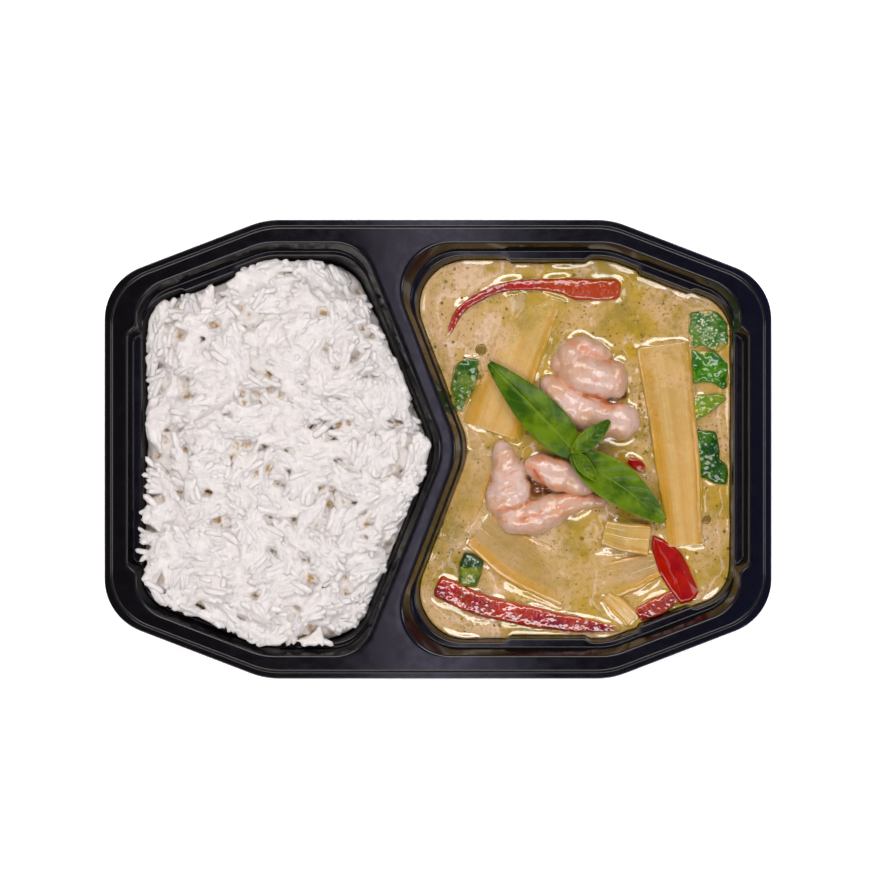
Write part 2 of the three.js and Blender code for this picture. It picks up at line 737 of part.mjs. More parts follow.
const GREENS = {
  green_leaf_1: {
    points: [[98, 53.5, 25.8], [103, 46, 26.6], [108, 38.6, 25.8]],
    breadths: [4.5, 7.6, 5.4],
    heights: [1.2, 1.3, 1.2],
    rings: 5,
  },
  green_leaf_2: {
    points: [[96.5, 39.5, 25.6], [102.5, 31.5, 26.9], [107.8, 23, 26]],
    breadths: [3.4, 7.2, 4],
    heights: [1.2, 1.4, 1.2],
    rings: 5,
  },
  green_leaf_3: {
    points: [[97.2, 10.5, 25.8], [101, 16, 26.2], [105.5, 21.5, 26]],
    breadths: [1.6, 4, 5.2],
    heights: [1, 1.1, 1],
    rings: 5,
  },
  green_leaf_4: {
    points: [[102.3, 9, 26], [101.8, -2, 26.6], [104.6, -10.5, 26.6], [112, -13.4, 25.6]],
    breadths: [4.4, 5.2, 4.6, 2.6],
    heights: [1.3, 1.6, 1.5, 1.1],
    rings: 5,
  },
  green_leaf_5: {
    points: [[15.5, 35.5, 25.6], [10, 26, 26.6], [6.5, 12.8, 25.8]],
    breadths: [2.4, 5, 2.8],
    heights: [1.1, 1.3, 1.1],
    rings: 5,
  },
  green_pod: {
    points: [[13.2, -37.6, 25.8], [12.6, -45, 26.8], [11.4, -53.2, 26.6]],
    breadths: [4.2, 4.8, 4.6],
    heights: [2.6, 3, 2.8],
    rings: 5,
  },
};

const BASIL_LEAVES = [
  {
    points: [[51.5, -1.4, 33.4], [44.5, 6.5, 34], [32.5, 19, 32.6], [19.3, 32.6, 30]],
    halfWidth: 7.3,
    widest: 0.36,
    fold: -1.1,
    waves: 0.35,
    along: 9,
  },
  {
    points: [[50.8, -1.2, 33.4], [59, -7.4, 34], [72, -16.2, 33.2], [85.4, -27.2, 29.6]],
    halfWidth: 7.2,
    widest: 0.42,
    fold: 0.9,
    waves: 0.4,
    along: 9,
  },
  {
    points: [[51, -0.6, 34], [57.5, 4.6, 36], [64.4, 10.8, 36.2]],
    halfWidth: 3.3,
    fold: 1,
    waves: 0.2,
    along: 5,
    across: 2,
  },
  {
    points: [[51.4, -1.6, 34.2], [55.2, -6.6, 36.2], [59.4, -11.6, 36.6]],
    halfWidth: 2.5,
    fold: 0.9,
    waves: 0.2,
    along: 5,
    across: 2,
  },
];

const BASIL_STEM = {
  points: [[50.2, -2.2, 30.4], [50.9, -1, 32.4], [51.2, -0.6, 34.6]],
  breadths: [1.3, 1.5, 1.2],
  heights: [1.3, 1.5, 1.2],
  facets: 6,
  rings: 3,
};

/** The basil sprig: two long leaves, two young ones and the stub of stem that holds them. */
function basilSprig(grow) {
  return joined(BASIL_LEAVES, grow, leafSolid).add(drawnSolid(BASIL_STEM, grow));
}

/** Every piece that lies in the sauce, the uppermost first, as functions of their growth. */
function curryPieces() {
  const pieces = [['basil_sprig', basilSprig]];
  const addAll = (table, form) => {
    for (const [name, piece] of Object.entries(table)) {
      pieces.push([name, (grow) => drawnSolid({ ...form, ...piece }, grow)]);
    }
  };
  for (const [name, parts] of Object.entries(PRAWNS)) {
    pieces.push([name, (grow) => joined(parts, grow, segmentedSolid)]);
  }
  addAll(RED_PEPPERS, PEPPER_FORM);
  addAll(GREENS, PEPPER_FORM);
  addAll(BAMBOO, CUT_FORM);
  return pieces;
}

/** Fits the pieces and the sauce to each other: each gives way to those listed before it. */
function currySolids() {
  const sunkDepth = TRAY.rim - SAUCE_LEVEL + PIECE_DRAUGHT;
  const room = wellSolid(CURRY_WELL, GAP, ABOVE_RIM, sunkDepth);
  const widerRoom = wellSolid(CURRY_WELL, -GAP, ABOVE_RIM, sunkDepth);
  const solids = new Map();
  const cutters = [];
  for (const [name, build] of curryPieces()) {
    const clear = cutters.reduce((rest, cutter) => rest.subtract(cutter), build(0).intersect(room));
    solids.set(name, largestBody(clear));
    cutters.push(build(GAP).intersect(widerRoom));
  }
  const bath = wellSolid(CURRY_WELL, GAP, TRAY.rim - SAUCE_LEVEL);
  const sauce = cutters.reduce((rest, cutter) => rest.subtract(cutter), bath);
  solids.set('curry_sauce', largestBody(sauce));
  return solids;
}

// ---------------------------------------------------------------- materials and assembly

const MATERIALS = {
  tray: { color: 0x17151c, roughness: 0.35 },
  rice: { color: 0xeceae4, roughness: 0.5 },
  curry_sauce: { color: 0xc9b27a, roughness: 0.25 },
  prawn: { color: 0xe2b8a4, roughness: 0.35 },
  bamboo: { color: 0xd2b45e, roughness: 0.4 },
  red_pepper: { color: 0xb3201a, roughness: 0.25 },
  green_leaf: { color: 0x2f6b28, roughness: 0.35 },
  green_pod: { color: 0x3d6f23, roughness: 0.35 },
  basil_sprig: { color: 0x2c6a1c, roughness: 0.4 },
};

/** The finish of a node: the material whose name its own name starts with. */
function materialFor(name) {
  const kind = Object.keys(MATERIALS).find((key) => name.startsWith(key));
  return new THREE.MeshStandardMaterial({ metalness: 0, ...MATERIALS[kind] });
}

/** A named three.js mesh of a manifold solid. */
function meshOf(name, solid) {
  const { vertProperties, triVerts } = solid.getMesh();
  const geometry = new THREE.BufferGeometry();
  geometry.setAttribute('position', new THREE.BufferAttribute(new Float32Array(vertProperties), 3));
  geometry.setIndex(new THREE.BufferAttribute(new Uint32Array(triVerts), 1));
  geometry.computeVertexNormals();
  const mesh = new THREE.Mesh(geometry, materialFor(name));
  mesh.name = name;
  return mesh;
}

const meal = new THREE.Group();
meal.add(meshOf('tray', traySolid()));
meal.add(meshOf('rice', riceSolid()));
for (const [name, solid] of currySolids()) meal.add(meshOf(name, solid));

export default meal;
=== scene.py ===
# %% [markdown]
# # Green curry and white rice in a black two-well tray
# A ready meal in an open tray: a heap of rice in the left well, and prawns, bamboo, peppers and
# leaves in green curry sauce in the right one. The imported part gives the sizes, and each step
# builds one kind of thing over it: the tray, what lies in the curry, the sauce round those
# pieces, and last the rice. All modelling is in millimetres, X along the tray towards the
# curry, Y across, Z up.

import math

import bmesh
import bpy
import numpy as np
from mathutils import Matrix, Vector, noise
from mathutils.bvhtree import BVHTree
from mathutils.kdtree import KDTree


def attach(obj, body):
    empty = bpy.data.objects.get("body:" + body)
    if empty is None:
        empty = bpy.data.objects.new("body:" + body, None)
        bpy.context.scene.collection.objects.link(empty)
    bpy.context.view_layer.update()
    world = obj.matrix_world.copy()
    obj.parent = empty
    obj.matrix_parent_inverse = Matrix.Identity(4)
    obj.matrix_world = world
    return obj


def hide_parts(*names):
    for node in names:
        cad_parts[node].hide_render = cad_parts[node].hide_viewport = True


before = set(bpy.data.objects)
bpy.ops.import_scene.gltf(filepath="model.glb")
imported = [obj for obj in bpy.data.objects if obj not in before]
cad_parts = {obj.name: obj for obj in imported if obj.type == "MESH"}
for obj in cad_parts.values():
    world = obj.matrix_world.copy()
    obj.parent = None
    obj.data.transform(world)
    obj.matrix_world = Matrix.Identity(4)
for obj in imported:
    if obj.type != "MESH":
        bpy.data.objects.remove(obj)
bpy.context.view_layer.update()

# %% [markdown]
# ## From millimetres to a finished object
# A bmesh is Blender's editable mesh. Every piece below is made in one, in millimetres, and this
# helper turns it into an object in metres: it sets the normals outward, shades it smooth, hangs
# it under the root and hides the solids of the imported part that it stands for.

# %% Making objects
MM = 0.001


def as_object(name, bm, material, nodes=()):
    """An object of the part from a finished bmesh in millimetres."""
    bmesh.ops.recalc_face_normals(bm, faces=bm.faces)
    bmesh.ops.transform(bm, matrix=Matrix.Scale(MM, 4), verts=bm.verts)
    for face in bm.faces:
        face.smooth = True
    mesh = bpy.data.meshes.new(name)
    bm.to_mesh(mesh)
    bm.free()
    mesh.materials.append(material)
    obj = bpy.data.objects.new(name, mesh)
    bpy.context.scene.collection.objects.link(obj)
    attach(obj, "root")
    if nodes:
        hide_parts(*nodes)
    return obj


# %% [markdown]
# ## Wiring materials
# A material is a tree of nodes, and wiring one node by node takes many lines. This small class
# keeps it short: noise and cells give an uneven value, span turns one range of values into
# another, mix lays one colour over another by such a value, and bump turns it into fine
# relief. Texture places come from the object's own coordinates in metres, so a scale of 300
# repeats about every 3 mm.

# %% A short way to wire a material
class Shader:
    """A material with one surface shader and helpers that add nodes in front of it.
    The values are set on the shader's sockets, with _ for each space in a socket's name."""

    def __init__(self, name, **values):
        self.material = bpy.data.materials.new(name)
        self.material.use_nodes = True
        self.tree = self.material.node_tree
        self.surface = self.tree.nodes["Principled BSDF"]
        for socket, value in values.items():
            self.surface.inputs[socket.replace("_", " ")].default_value = value
        self.place = self.tree.nodes.new("ShaderNodeTexCoord").outputs["Object"]

    def add(self, kind, inputs, **settings):
        """A new node: inputs by name or number are linked from sockets or set to values."""
        node = self.tree.nodes.new(kind)
        for key, value in settings.items():
            setattr(node, key, value)
        for key, value in inputs.items():
            if isinstance(value, bpy.types.NodeSocket):
                self.tree.links.new(value, node.inputs[key])
            else:
                node.inputs[key].default_value = value
        return node

    def math(self, operation, a, b=0.0):
        """One sum on one or two values."""
        return self.add("ShaderNodeMath", {0: a, 1: b}, operation=operation).outputs[0]

    def noise(self, scale, detail=2.0, roughness=0.5, place=None):
        """An uneven value round a half. More detail adds finer marks."""
        inputs = {"Scale": scale, "Detail": detail, "Roughness": roughness}
        inputs["Vector"] = place or self.place
        return self.add("ShaderNodeTexNoise", inputs).outputs["Fac"]

    def cells(self, scale):
        """How far each place is from the nearest of many scattered points."""
        inputs = {"Scale": scale, "Vector": self.place}
        return self.add("ShaderNodeTexVoronoi", inputs, feature="F1").outputs["Distance"]

    def stretched(self, scales, place=None):
        """The texture place with each axis multiplied, for marks longer one way."""
        inputs = {"Vector": place or self.place, "Scale": scales}
        return self.add("ShaderNodeMapping", inputs).outputs[0]

    def uv(self):
        """The place on the piece's own UV map."""
        return self.add("ShaderNodeUVMap", {}, uv_map="UVMap").outputs[0]

    def split(self, vector):
        """A place's X, Y and Z, each by its name."""
        return self.add("ShaderNodeSeparateXYZ", {0: vector}).outputs

    def attribute(self, name):
        """A value that the mesh keeps for each of its points."""
        return self.add("ShaderNodeAttribute", {}, attribute_name=name).outputs["Fac"]

    def span(self, value, low, high, to_low=0.0, to_high=1.0):
        """value from low to high becomes to_low to to_high, smoothly and no further."""
        inputs = {"Value": value, "From Min": low, "From Max": high}
        inputs.update({"To Min": to_low, "To Max": to_high})
        return self.add("ShaderNodeMapRange", inputs, interpolation_type="SMOOTHSTEP").outputs[0]

    def mix(self, share, a, b):
        """Colour a where share is 0 and colour b where it is 1."""
        inputs = {"Factor": share, 6: a, 7: b}
        return self.add("ShaderNodeMix", inputs, data_type="RGBA").outputs[2]

    def colour(self, value):
        """Gives the surface its colour."""
        self.tree.links.new(value, self.surface.inputs["Base Color"])

    def rough(self, value):
        """Gives the surface an uneven roughness, from 0 for a mirror to 1 for chalk."""
        self.tree.links.new(value, self.surface.inputs["Roughness"])

    def bump(self, *layers):
        """Fine relief from pairs of height value and relief depth in millimetres."""
        normal = None
        for height, depth in layers:
            inputs = {"Height": height, "Distance": depth * MM, "Strength": 1.0}
            if normal:
                inputs["Normal"] = normal
            normal = self.add("ShaderNodeBump", inputs).outputs[0]
        for socket in ("Normal", "Coat Normal"):
            self.tree.links.new(normal, self.surface.inputs[socket])


# %% Colours
def rgb(red, green, blue):
    """A colour from its 0 to 255 numbers on a screen, as the linear values that shaders use."""
    def linear(value):
        """One of its three numbers."""
        share = value / 255
        return share / 12.92 if share <= 0.04045 else ((share + 0.055) / 1.055) ** 2.4
    return (linear(red), linear(green), linear(blue), 1.0)


print("middle grey as a linear value:", round(rgb(128, 128, 128)[0], 3))

# %% [markdown]
# ## Outlines with rounded corners
# The tray's rim and both wells are polygons with rounded corners. They could be curves with an
# offset, but a real wall leans in by another amount on each side while its corners keep their
# radius. So one function moves each side in by its own amount, rounds the corners and gives a
# ring of points. The number of points is always the same, so rings join up simply.

# %% The sides of an outline
def outline(*sides):
    """Sides from (x, y, corner radius, kind, lug range), counterclockwise from each corner."""
    made = []
    for i, (x, y, radius, kind, lug) in enumerate(sides):
        start = Vector((x, y))
        end = Vector(sides[(i + 1) % len(sides)][:2])
        along = (end - start).normalized()
        made.append({
            "start": start, "along": along, "inward": Vector((-along.y, along.x)),
            "length": (end - start).length, "radius": radius, "kind": kind, "lug": lug,
        })
    return made


# %% The arc that rounds a corner
def corner_arc(before, after, inset, spacing):
    """Points of the arc that rounds the corner between two sides that have moved in."""
    foot_a = before["start"] + before["inward"] * inset[before["kind"]]
    foot_b = after["start"] + after["inward"] * inset[after["kind"]]
    a, b = before["along"], after["along"]
    cross = a.cross(b)
    corner = foot_a + a * ((foot_b - foot_a).cross(b) / cross)
    turn = math.atan2(cross, a.dot(b))
    reach = after["radius"] * math.tan(abs(turn) / 2)
    centre = corner - a * reach + Vector((-a.y, a.x)) * math.copysign(after["radius"], turn)
    steps = max(4, round(after["radius"] * abs(turn) / spacing))
    arm = corner - a * reach - centre
    return [centre + Matrix.Rotation(turn * i / steps, 2) @ arm for i in range(steps + 1)]


# %% One closed ring
def smoothstep(value, low, high):
    """0 below low, 1 above high, and a smooth rise between them."""
    share = min(max((value - low) / (high - low), 0.0), 1.0)
    return share * share * (3 - 2 * share)


def ring(sides, inset, lug=0.0, shelf=0.0, spacing=2.0):
    """The closed ring at one level: lugs reach in and end shelves reach out by so much."""
    arcs = [corner_arc(sides[i - 1], side, inset, spacing) for i, side in enumerate(sides)]
    points = []
    for i, side in enumerate(sides):
        points += arcs[i]
        start, end = arcs[i][-1], arcs[(i + 1) % len(arcs)][0]
        steps = max(2, round(side["length"] / spacing))
        for k in range(1, steps):
            share = k / steps
            reach = 0.0
            if side["lug"]:
                first, last, ramp = side["lug"]
                there = smoothstep(share, first, first + ramp) - smoothstep(share, last - ramp, last)
                reach = there * (-shelf if side["kind"] == "end" else lug)
            points.append(start.lerp(end, share) + side["inward"] * reach)
    return points


# %% [markdown]
# ## The rim and the two wells
# The flange has eight sides. Each well follows its outline, except at the bent divider between
# them. A long wall carries a lug, a raised band that keeps stacked trays apart, and an end wall
# has a shelf. The last entry of a side says over which share of it the lug or shelf runs, and
# how long its ends take to rise. The rim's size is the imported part's own, and the wells are set
# by a few distances from the tray's middle.

# %% The rim
RIM_LONG, RIM_WIDE = 125, 86
RIM_SLOPE_FROM, SLOPE = 65, 0.384
RIM_END_HALF = RIM_WIDE - SLOPE * (RIM_LONG - RIM_SLOPE_FROM)
RIM_CORNER, RIM_END_CORNER = 30, 21
RIM = outline(
    (RIM_SLOPE_FROM, RIM_WIDE, RIM_CORNER, "wall", None),
    (-RIM_SLOPE_FROM, RIM_WIDE, RIM_CORNER, "wall", None),
    (-RIM_LONG, RIM_END_HALF, RIM_END_CORNER, "wall", None),
    (-RIM_LONG, -RIM_END_HALF, RIM_END_CORNER, "wall", None),
    (-RIM_SLOPE_FROM, -RIM_WIDE, RIM_CORNER, "wall", None),
    (RIM_SLOPE_FROM, -RIM_WIDE, RIM_CORNER, "wall", None),
    (RIM_LONG, -RIM_END_HALF, RIM_END_CORNER, "wall", None),
    (RIM_LONG, RIM_END_HALF, RIM_END_CORNER, "wall", None),
)
print("rim, half length and half width:", RIM_LONG, RIM_WIDE, "half its end:", round(RIM_END_HALF, 2))

# %% The two wells
HALF_WIDTH, WELL_END, WELL_SLOPE_FROM = 77.3, 112.8, 65.3
END_HALF = HALF_WIDTH - SLOPE * (WELL_END - WELL_SLOPE_FROM)
RICE_CORNER_X, RICE_BEND_X = -28.8, 2.2
CURRY_CORNER_X, CURRY_BEND_X = -21.5, 8.1
SHELF_RANGE = (0.02, 0.98, 0.04)
RICE_WELL = outline(
    (RICE_CORNER_X, HALF_WIDTH, 15, "wall", None),
    (-WELL_SLOPE_FROM, HALF_WIDTH, 25, "wall", (0.2, 0.86, 0.05)),
    (-WELL_END, END_HALF, 15, "end", SHELF_RANGE),
    (-WELL_END, -END_HALF, 15, "wall", (0.14, 0.8, 0.05)),
    (-WELL_SLOPE_FROM, -HALF_WIDTH, 25, "wall", None),
    (RICE_CORNER_X, -HALF_WIDTH, 15, "divider", None),
    (RICE_BEND_X, 0, 22, "divider", None),
)
CURRY_WELL = outline(
    (CURRY_CORNER_X, HALF_WIDTH, 18, "divider", None),
    (CURRY_BEND_X, 0, 24, "divider", None),
    (CURRY_CORNER_X, -HALF_WIDTH, 18, "wall", (0.3, 0.96, 0.05)),
    (WELL_SLOPE_FROM, -HALF_WIDTH, 25, "wall", (0.2, 0.86, 0.05)),
    (WELL_END, -END_HALF, 15, "end", SHELF_RANGE),
    (WELL_END, END_HALF, 15, "wall", (0.14, 0.8, 0.05)),
    (WELL_SLOPE_FROM, HALF_WIDTH, 25, "wall", (0.04, 0.7, 0.05)),
)
RICE_HUB, CURRY_HUB = Vector((-55, 0)), Vector((62, 0))
print("sides of the rice well:", len(RICE_WELL), "and of the curry well:", len(CURRY_WELL))

# %% The walls' profile
TRAY_TOP = 38.0
# Depth below the flange, then how far wall, end and divider have come in, the shelf and the lugs.
PROFILE = [
    (0.0, 0.0, 0.0, 0.0, 3.4, 0.0),
    (6.5, 2.6, 1.2, 2.2, 3.4, 0.0),
    (6.6, 4.4, 1.3, 2.8, 0.0, 1.4),
    (30.0, 9.5, 6.0, 9.0, 0.0, 0.84),
    (35.0, 12.0, 9.0, 12.0, 0.0, 0.0),
    (37.2, 17.0, 14.0, 17.0, 0.0, 0.0),
]


def station_at(depth):
    """The row of the profile at any depth."""
    levels = [row[0] for row in PROFILE]
    return [depth] + [float(np.interp(depth, levels, [row[k] for row in PROFILE])) for k in range(1, 6)]


def well_ring(well, station, margin=0.0, spacing=2.0):
    """The ring of a well's wall at a station of the profile, drawn in by a margin."""
    depth, wall, end, divider, shelf, lug = station
    inset = {"wall": wall + margin, "end": end + margin, "divider": divider + margin}
    flat = ring(well, inset, lug, shelf, spacing)
    return [Vector((point.x, point.y, TRAY_TOP - depth)) for point in flat]


print("points in a well ring:", len(well_ring(CURRY_WELL, PROFILE[0])))

# %% [markdown]
# ## Skins from rings
# Extruding a closed loop of edges gives a new loop, joined to the old one by faces. Moving each
# new loop to the next ring builds a wall, the way a sheet is drawn down step by step. Two
# separate rings could be bridged instead, but a bridge has to guess which points belong
# together, and an extruded loop knows.

# %% Building a skin ring by ring
def first_ring(bm, points):
    """A closed loop of edges through points. A loop is kept as its points in order."""
    loop = [bm.verts.new(point) for point in points]
    for i, vert in enumerate(loop):
        bm.edges.new((loop[i - 1], vert))
    return loop


def edges_of(bm, loop):
    """The edges of a loop, in order."""
    return [bm.edges.get((loop[i - 1], vert)) for i, vert in enumerate(loop)]


def next_ring(bm, loop, points):
    """Extrudes a loop and moves the new one to points."""
    made = set(bmesh.ops.extrude_edge_only(bm, edges=edges_of(bm, loop))["geom"])
    moved = []
    for vert, point in zip(loop, points):
        twin = next(v for v in (e.other_vert(vert) for e in vert.link_edges) if v in made)
        twin.co = point
        moved.append(twin)
    return moved


def close(bm, loop):
    """Fills a loop with one face."""
    bmesh.ops.contextual_create(bm, geom=edges_of(bm, loop))


# %% [markdown]
# ## The tray
# The real tray is one sheet of black plastic, heated and drawn into a mould. Wells pushed into
# a box would have sharp bends, so the skin is made the way the sheet was. One loop starts at
# the turned-down outer edge and runs over the lip and up a small step to the flange, and a
# loop for each well is drawn down through the wall's levels. The bends get small curves first,
# because only a rounded edge catches the light. A flat fill closes the flange between the
# three loops, and a Solidify modifier gives the sheet its 0.8 mm.

# %% Curves in place of sharp bends
LONGEST_CURVE = 0.48


def eased(stations, radii, steps=3):
    """The stations of a profile, with a small curve at each bend that has a radius."""
    rows = [np.array(row, float) for row in stations]
    made = [rows[0]]
    for before, bend, after, radius in zip(rows, rows[1:], rows[2:], radii):
        arms = []
        for arm in (before - bend, after - bend):
            arms.append(arm * min(radius / np.linalg.norm(arm[:2]), LONGEST_CURVE))
        for t in np.linspace(0, 1, steps + 1) if radius else [0.5]:
            made.append(bend + arms[0] * (1 - t) ** 2 + arms[1] * t ** 2)
    return made + [rows[-1]]


# %% The levels of the wells and of the lip
FLANGE_ROW = (0.0, -2.0, -2.0, -2.0, 3.4, 0.0)
WELL_ROWS = eased([FLANGE_ROW] + PROFILE, [0.7, 0.25, 0.5, 3.0, 2.0, 0.0])
LIP_ROWS = eased(
    [(4.5, TRAY_TOP), (3.1, TRAY_TOP), (2.4, TRAY_TOP - 1.1), (0.0, TRAY_TOP - 1.1), (0.0, TRAY_TOP - 2.5)],
    [0.4, 0.3, 0.4],
)
print("stations down a well:", len(WELL_ROWS), "and over the lip:", len(LIP_ROWS))


# %% The black plastic
def plastic_material():
    shader = Shader("tray_plastic", Roughness=0.2)
    cloud = shader.noise(30, 3)
    shader.colour(shader.mix(cloud, rgb(7, 6, 9), rgb(13, 11, 14)))
    shader.rough(shader.span(shader.noise(220, 4, 0.7), 0.3, 0.7, 0.1, 0.17))
    shader.bump((shader.noise(45, 2), 0.1), (shader.noise(1600, 2), 0.002))
    return shader.material


# %% The tray's skin
TRAY_SPACING = 1.6
SHEET = 0.8

bm = bmesh.new()
loops = []
for inset, height in LIP_ROWS[::-1]:
    flat = ring(RIM, {"wall": inset}, spacing=TRAY_SPACING)
    points = [Vector((point.x, point.y, height)) for point in flat]
    loops.append(next_ring(bm, loops[-1], points) if loops else first_ring(bm, points))
rims = edges_of(bm, loops[-1])
for well in (RICE_WELL, CURRY_WELL):
    loop = None
    for row in WELL_ROWS:
        points = well_ring(well, row, spacing=TRAY_SPACING)
        if loop:
            loop = next_ring(bm, loop, points)
        else:
            loop = first_ring(bm, points)
            rims += edges_of(bm, loop)
    close(bm, loop)
bmesh.ops.triangle_fill(bm, use_beauty=True, edges=rims)
tray = as_object("tray_skin", bm, plastic_material(), ["tray"])
if tray.data.polygons[-1].normal.z < 0:
    tray.data.flip_normals()
sheet = tray.modifiers.new("sheet", "SOLIDIFY")
sheet.thickness = SHEET * MM
sheet.offset = -1
flats = tray.modifiers.new("flats", "WEIGHTED_NORMAL")
flats.weight = 80
facing = "up" if tray.data.polygons[-1].normal.z > 0 else "down"
print("tray skin faces:", len(tray.data.polygons), "flange facing", facing)

# %% [markdown]
# ## Pieces drawn along a path
# Strips of pepper, slices of bamboo and the prawns' bodies are long, bent and uneven. A bevelled
# curve would keep one section all along, so here a ring is carried along a smooth path. The
# section is an oval or nearly a box, its half sizes change along the way, and every point
# moves a little by noise, so that nothing looks machine made. The distance along and across
# is kept as a UV map, so fibres in a material can follow the piece.

# %% A smooth path and the directions along it
def smooth_path(points, count=24):
    """A Catmull-Rom curve through points as an array, with its running length."""
    knots = np.array(points, float)
    knots = np.vstack([2 * knots[0] - knots[1], knots, 2 * knots[-1] - knots[-2]])
    fine = []
    for a, b, c, d in zip(knots, knots[1:], knots[2:], knots[3:]):
        for t in np.linspace(0, 1, count, endpoint=False):
            bend = (2 * a - 5 * b + 4 * c - d) * t ** 2 + (3 * b - a - 3 * c + d) * t ** 3
            fine.append((2 * b + (c - a) * t + bend) / 2)
    fine = np.array(fine + [knots[-2]])
    steps = np.linalg.norm(np.diff(fine, axis=0), axis=1)
    return fine, np.concatenate([[0], np.cumsum(steps)])


def frame_at(curve, share, roll=0.0):
    """The place on a path, and the level and upright directions of the section there."""
    fine, run = curve
    at = [float(np.interp(share * run[-1], run, fine[:, k])) for k in range(3)]
    step = 0.02 * run[-1]
    ends = [np.array([np.interp(share * run[-1] + side * step, run, fine[:, k]) for k in range(3)])
            for side in (-1, 1)]
    along = Vector(ends[1] - ends[0]).normalized()
    level = Vector((0, 0, 1)).cross(along).normalized()
    turn = Matrix.Rotation(roll, 3, along)
    return Vector(at), turn @ level, turn @ along.cross(level)


# %% Sizes and places along a piece
SIDE = 0.01


def between(values, share):
    """A value from stations spread evenly along a piece, smoothed between them."""
    place = share * (len(values) - 1)
    first = min(int(place), len(values) - 2)
    blend = smoothstep(place - first, 0, 1)
    return values[first] * (1 - blend) + values[first + 1] * blend


def set_uv(bm, places):
    """Writes each point's place on its piece into the UV map. On a piece drawn along a path
    it is the metres along, and -SIDE to SIDE across."""
    layer = bm.loops.layers.uv.new("UVMap")
    for face in bm.faces:
        for corner in face.loops:
            corner[layer].uv = places[corner.vert]


# %% A section carried along a path
END_GAP = 0.004


def swept(points, breadths, heights, roll=0.0, square=0.0, wobble=0.15, stations=44, facets=32, end=None):
    """A solid drawn along a path. square 0 gives ovals and 1 boxes. end is the round end's reach."""
    bm = bmesh.new()
    curve = smooth_path(points)
    length = curve[1][-1]
    places, loop = {}, None
    for i in range(stations + 1):
        share = (1 - math.cos(math.pi * i / stations)) / 2
        share = END_GAP + (1 - 2 * END_GAP) * share
        breadth, height = between(breadths, share), between(heights, share)
        from_end = min(share, 1 - share) * length
        reach = end if end is not None else breadth
        taper = math.sqrt(max(1 - max(1 - from_end / reach, 0) ** 2, 0.0004)) if reach else 1.0
        centre, level, upright = frame_at(curve, share, roll)
        ring_points, ring_places = [], []
        for k in range(facets):
            angle = 2 * math.pi * k / facets
            c, s = math.cos(angle), math.sin(angle)
            flat = max(abs(c), abs(s)) ** -square
            across, up = c * flat * breadth * taper, s * flat * height * taper
            point = centre + level * across + upright * up
            # A slow unevenness and a quicker, smaller one.
            shift = noise.noise(point * 0.22) * wobble * 2 + noise.noise(point * 0.9) * wobble * 0.6
            outward = (level * c + upright * s) * shift * min(taper * 1.5, 1.0)
            ring_points.append(point + outward)
            ring_places.append((share * length * MM, c * flat * SIDE))
        loop = next_ring(bm, loop, ring_points) if loop else first_ring(bm, ring_points)
        if i in (0, stations):
            close(bm, loop)
        places.update(zip(loop, ring_places))
    set_uv(bm, places)
    return bm


# %% [markdown]
# ## Flat torn pieces
# Leaves, the pod and the broad pepper are flat pieces with their own outline and a soft edge. A
# thickened plane would have a sharp cut edge, so the piece is built from rings again: up round
# the edge in a half circle, then over the top to its middle on a low dome. Noise that depends
# on the place lifts it a little, so it lies uneven.

# %% A flat torn piece
EDGE_SPACING, EDGE_RINGS, TOP_RINGS = 0.8, 9, 13


def flat_outline(corners, radius, inset):
    """The outline of a flat piece from its corners, rounded and drawn in."""
    sides = outline(*[(x, y, radius, "edge", None) for x, y in corners])
    return ring(sides, {"edge": inset}, spacing=EDGE_SPACING)


def plate(corners, middle, thickness, radius, crown, wobble, heading=0.0):
    """A flat piece with a round edge. middle is its height, and crown how far it bulges up."""
    bm = bmesh.new()
    hub = sum((Vector(corner) for corner in corners), Vector((0, 0))) / len(corners)
    along = Vector((math.cos(math.radians(heading)), math.sin(math.radians(heading))))
    half = thickness / 2
    places, loop = {}, None

    def lifted(flat, height, share):
        """A point of the outline at its height, raised by the bulge and by noise."""
        rise = crown * (1 - share ** 2)
        bumps = noise.noise(Vector((flat.x, flat.y, height)) * 0.35) * wobble * 2
        return Vector((flat.x, flat.y, middle + height + rise + bumps))

    def join(points):
        """Adds the next ring and keeps each point's place from the middle, for the UV map."""
        nonlocal loop
        loop = next_ring(bm, loop, points) if loop else first_ring(bm, points)
        for vert in loop:
            arm = vert.co.xy - hub
            places[vert] = (arm.dot(along) * MM, arm.cross(along) * MM)

    rim = flat_outline(corners, radius, half)
    for share in (0.3, 0.7):
        join([lifted(hub.lerp(p, share), -half, share) for p in rim])
        if share == 0.3:
            close(bm, loop)
    for a in np.linspace(-math.pi / 2, math.pi / 2, EDGE_RINGS):
        inset, height = half * (1 - math.cos(a)), half * math.sin(a)
        join([lifted(p, height, 1) for p in flat_outline(corners, radius, inset)])
    for share in np.linspace(1, 0, TOP_RINGS)[1:-1]:
        join([lifted(hub.lerp(p, float(share)), half, float(share)) for p in rim])
    close(bm, loop)
    set_uv(bm, places)
    return bm


# %% [markdown]
# ## The sauce's colour, and a film of it on everything
# The sauce is cream and gold with olive clouds and dark specks of herb. Whatever lies in it
# wears some of it. A real film could be a thin skin round each piece, but its colour is all
# that shows, so the same patchy colour is laid over each piece near the sauce's level and
# broken up by noise. The pieces then look sunk in, not set on top.

# %% The sauce's colour
SAUCE_LEVEL = 26.0
CREAM = rgb(202, 166, 120)
GOLD = rgb(180, 145, 46)
OLIVE = rgb(142, 120, 8)
SPECK = rgb(100, 82, 4)


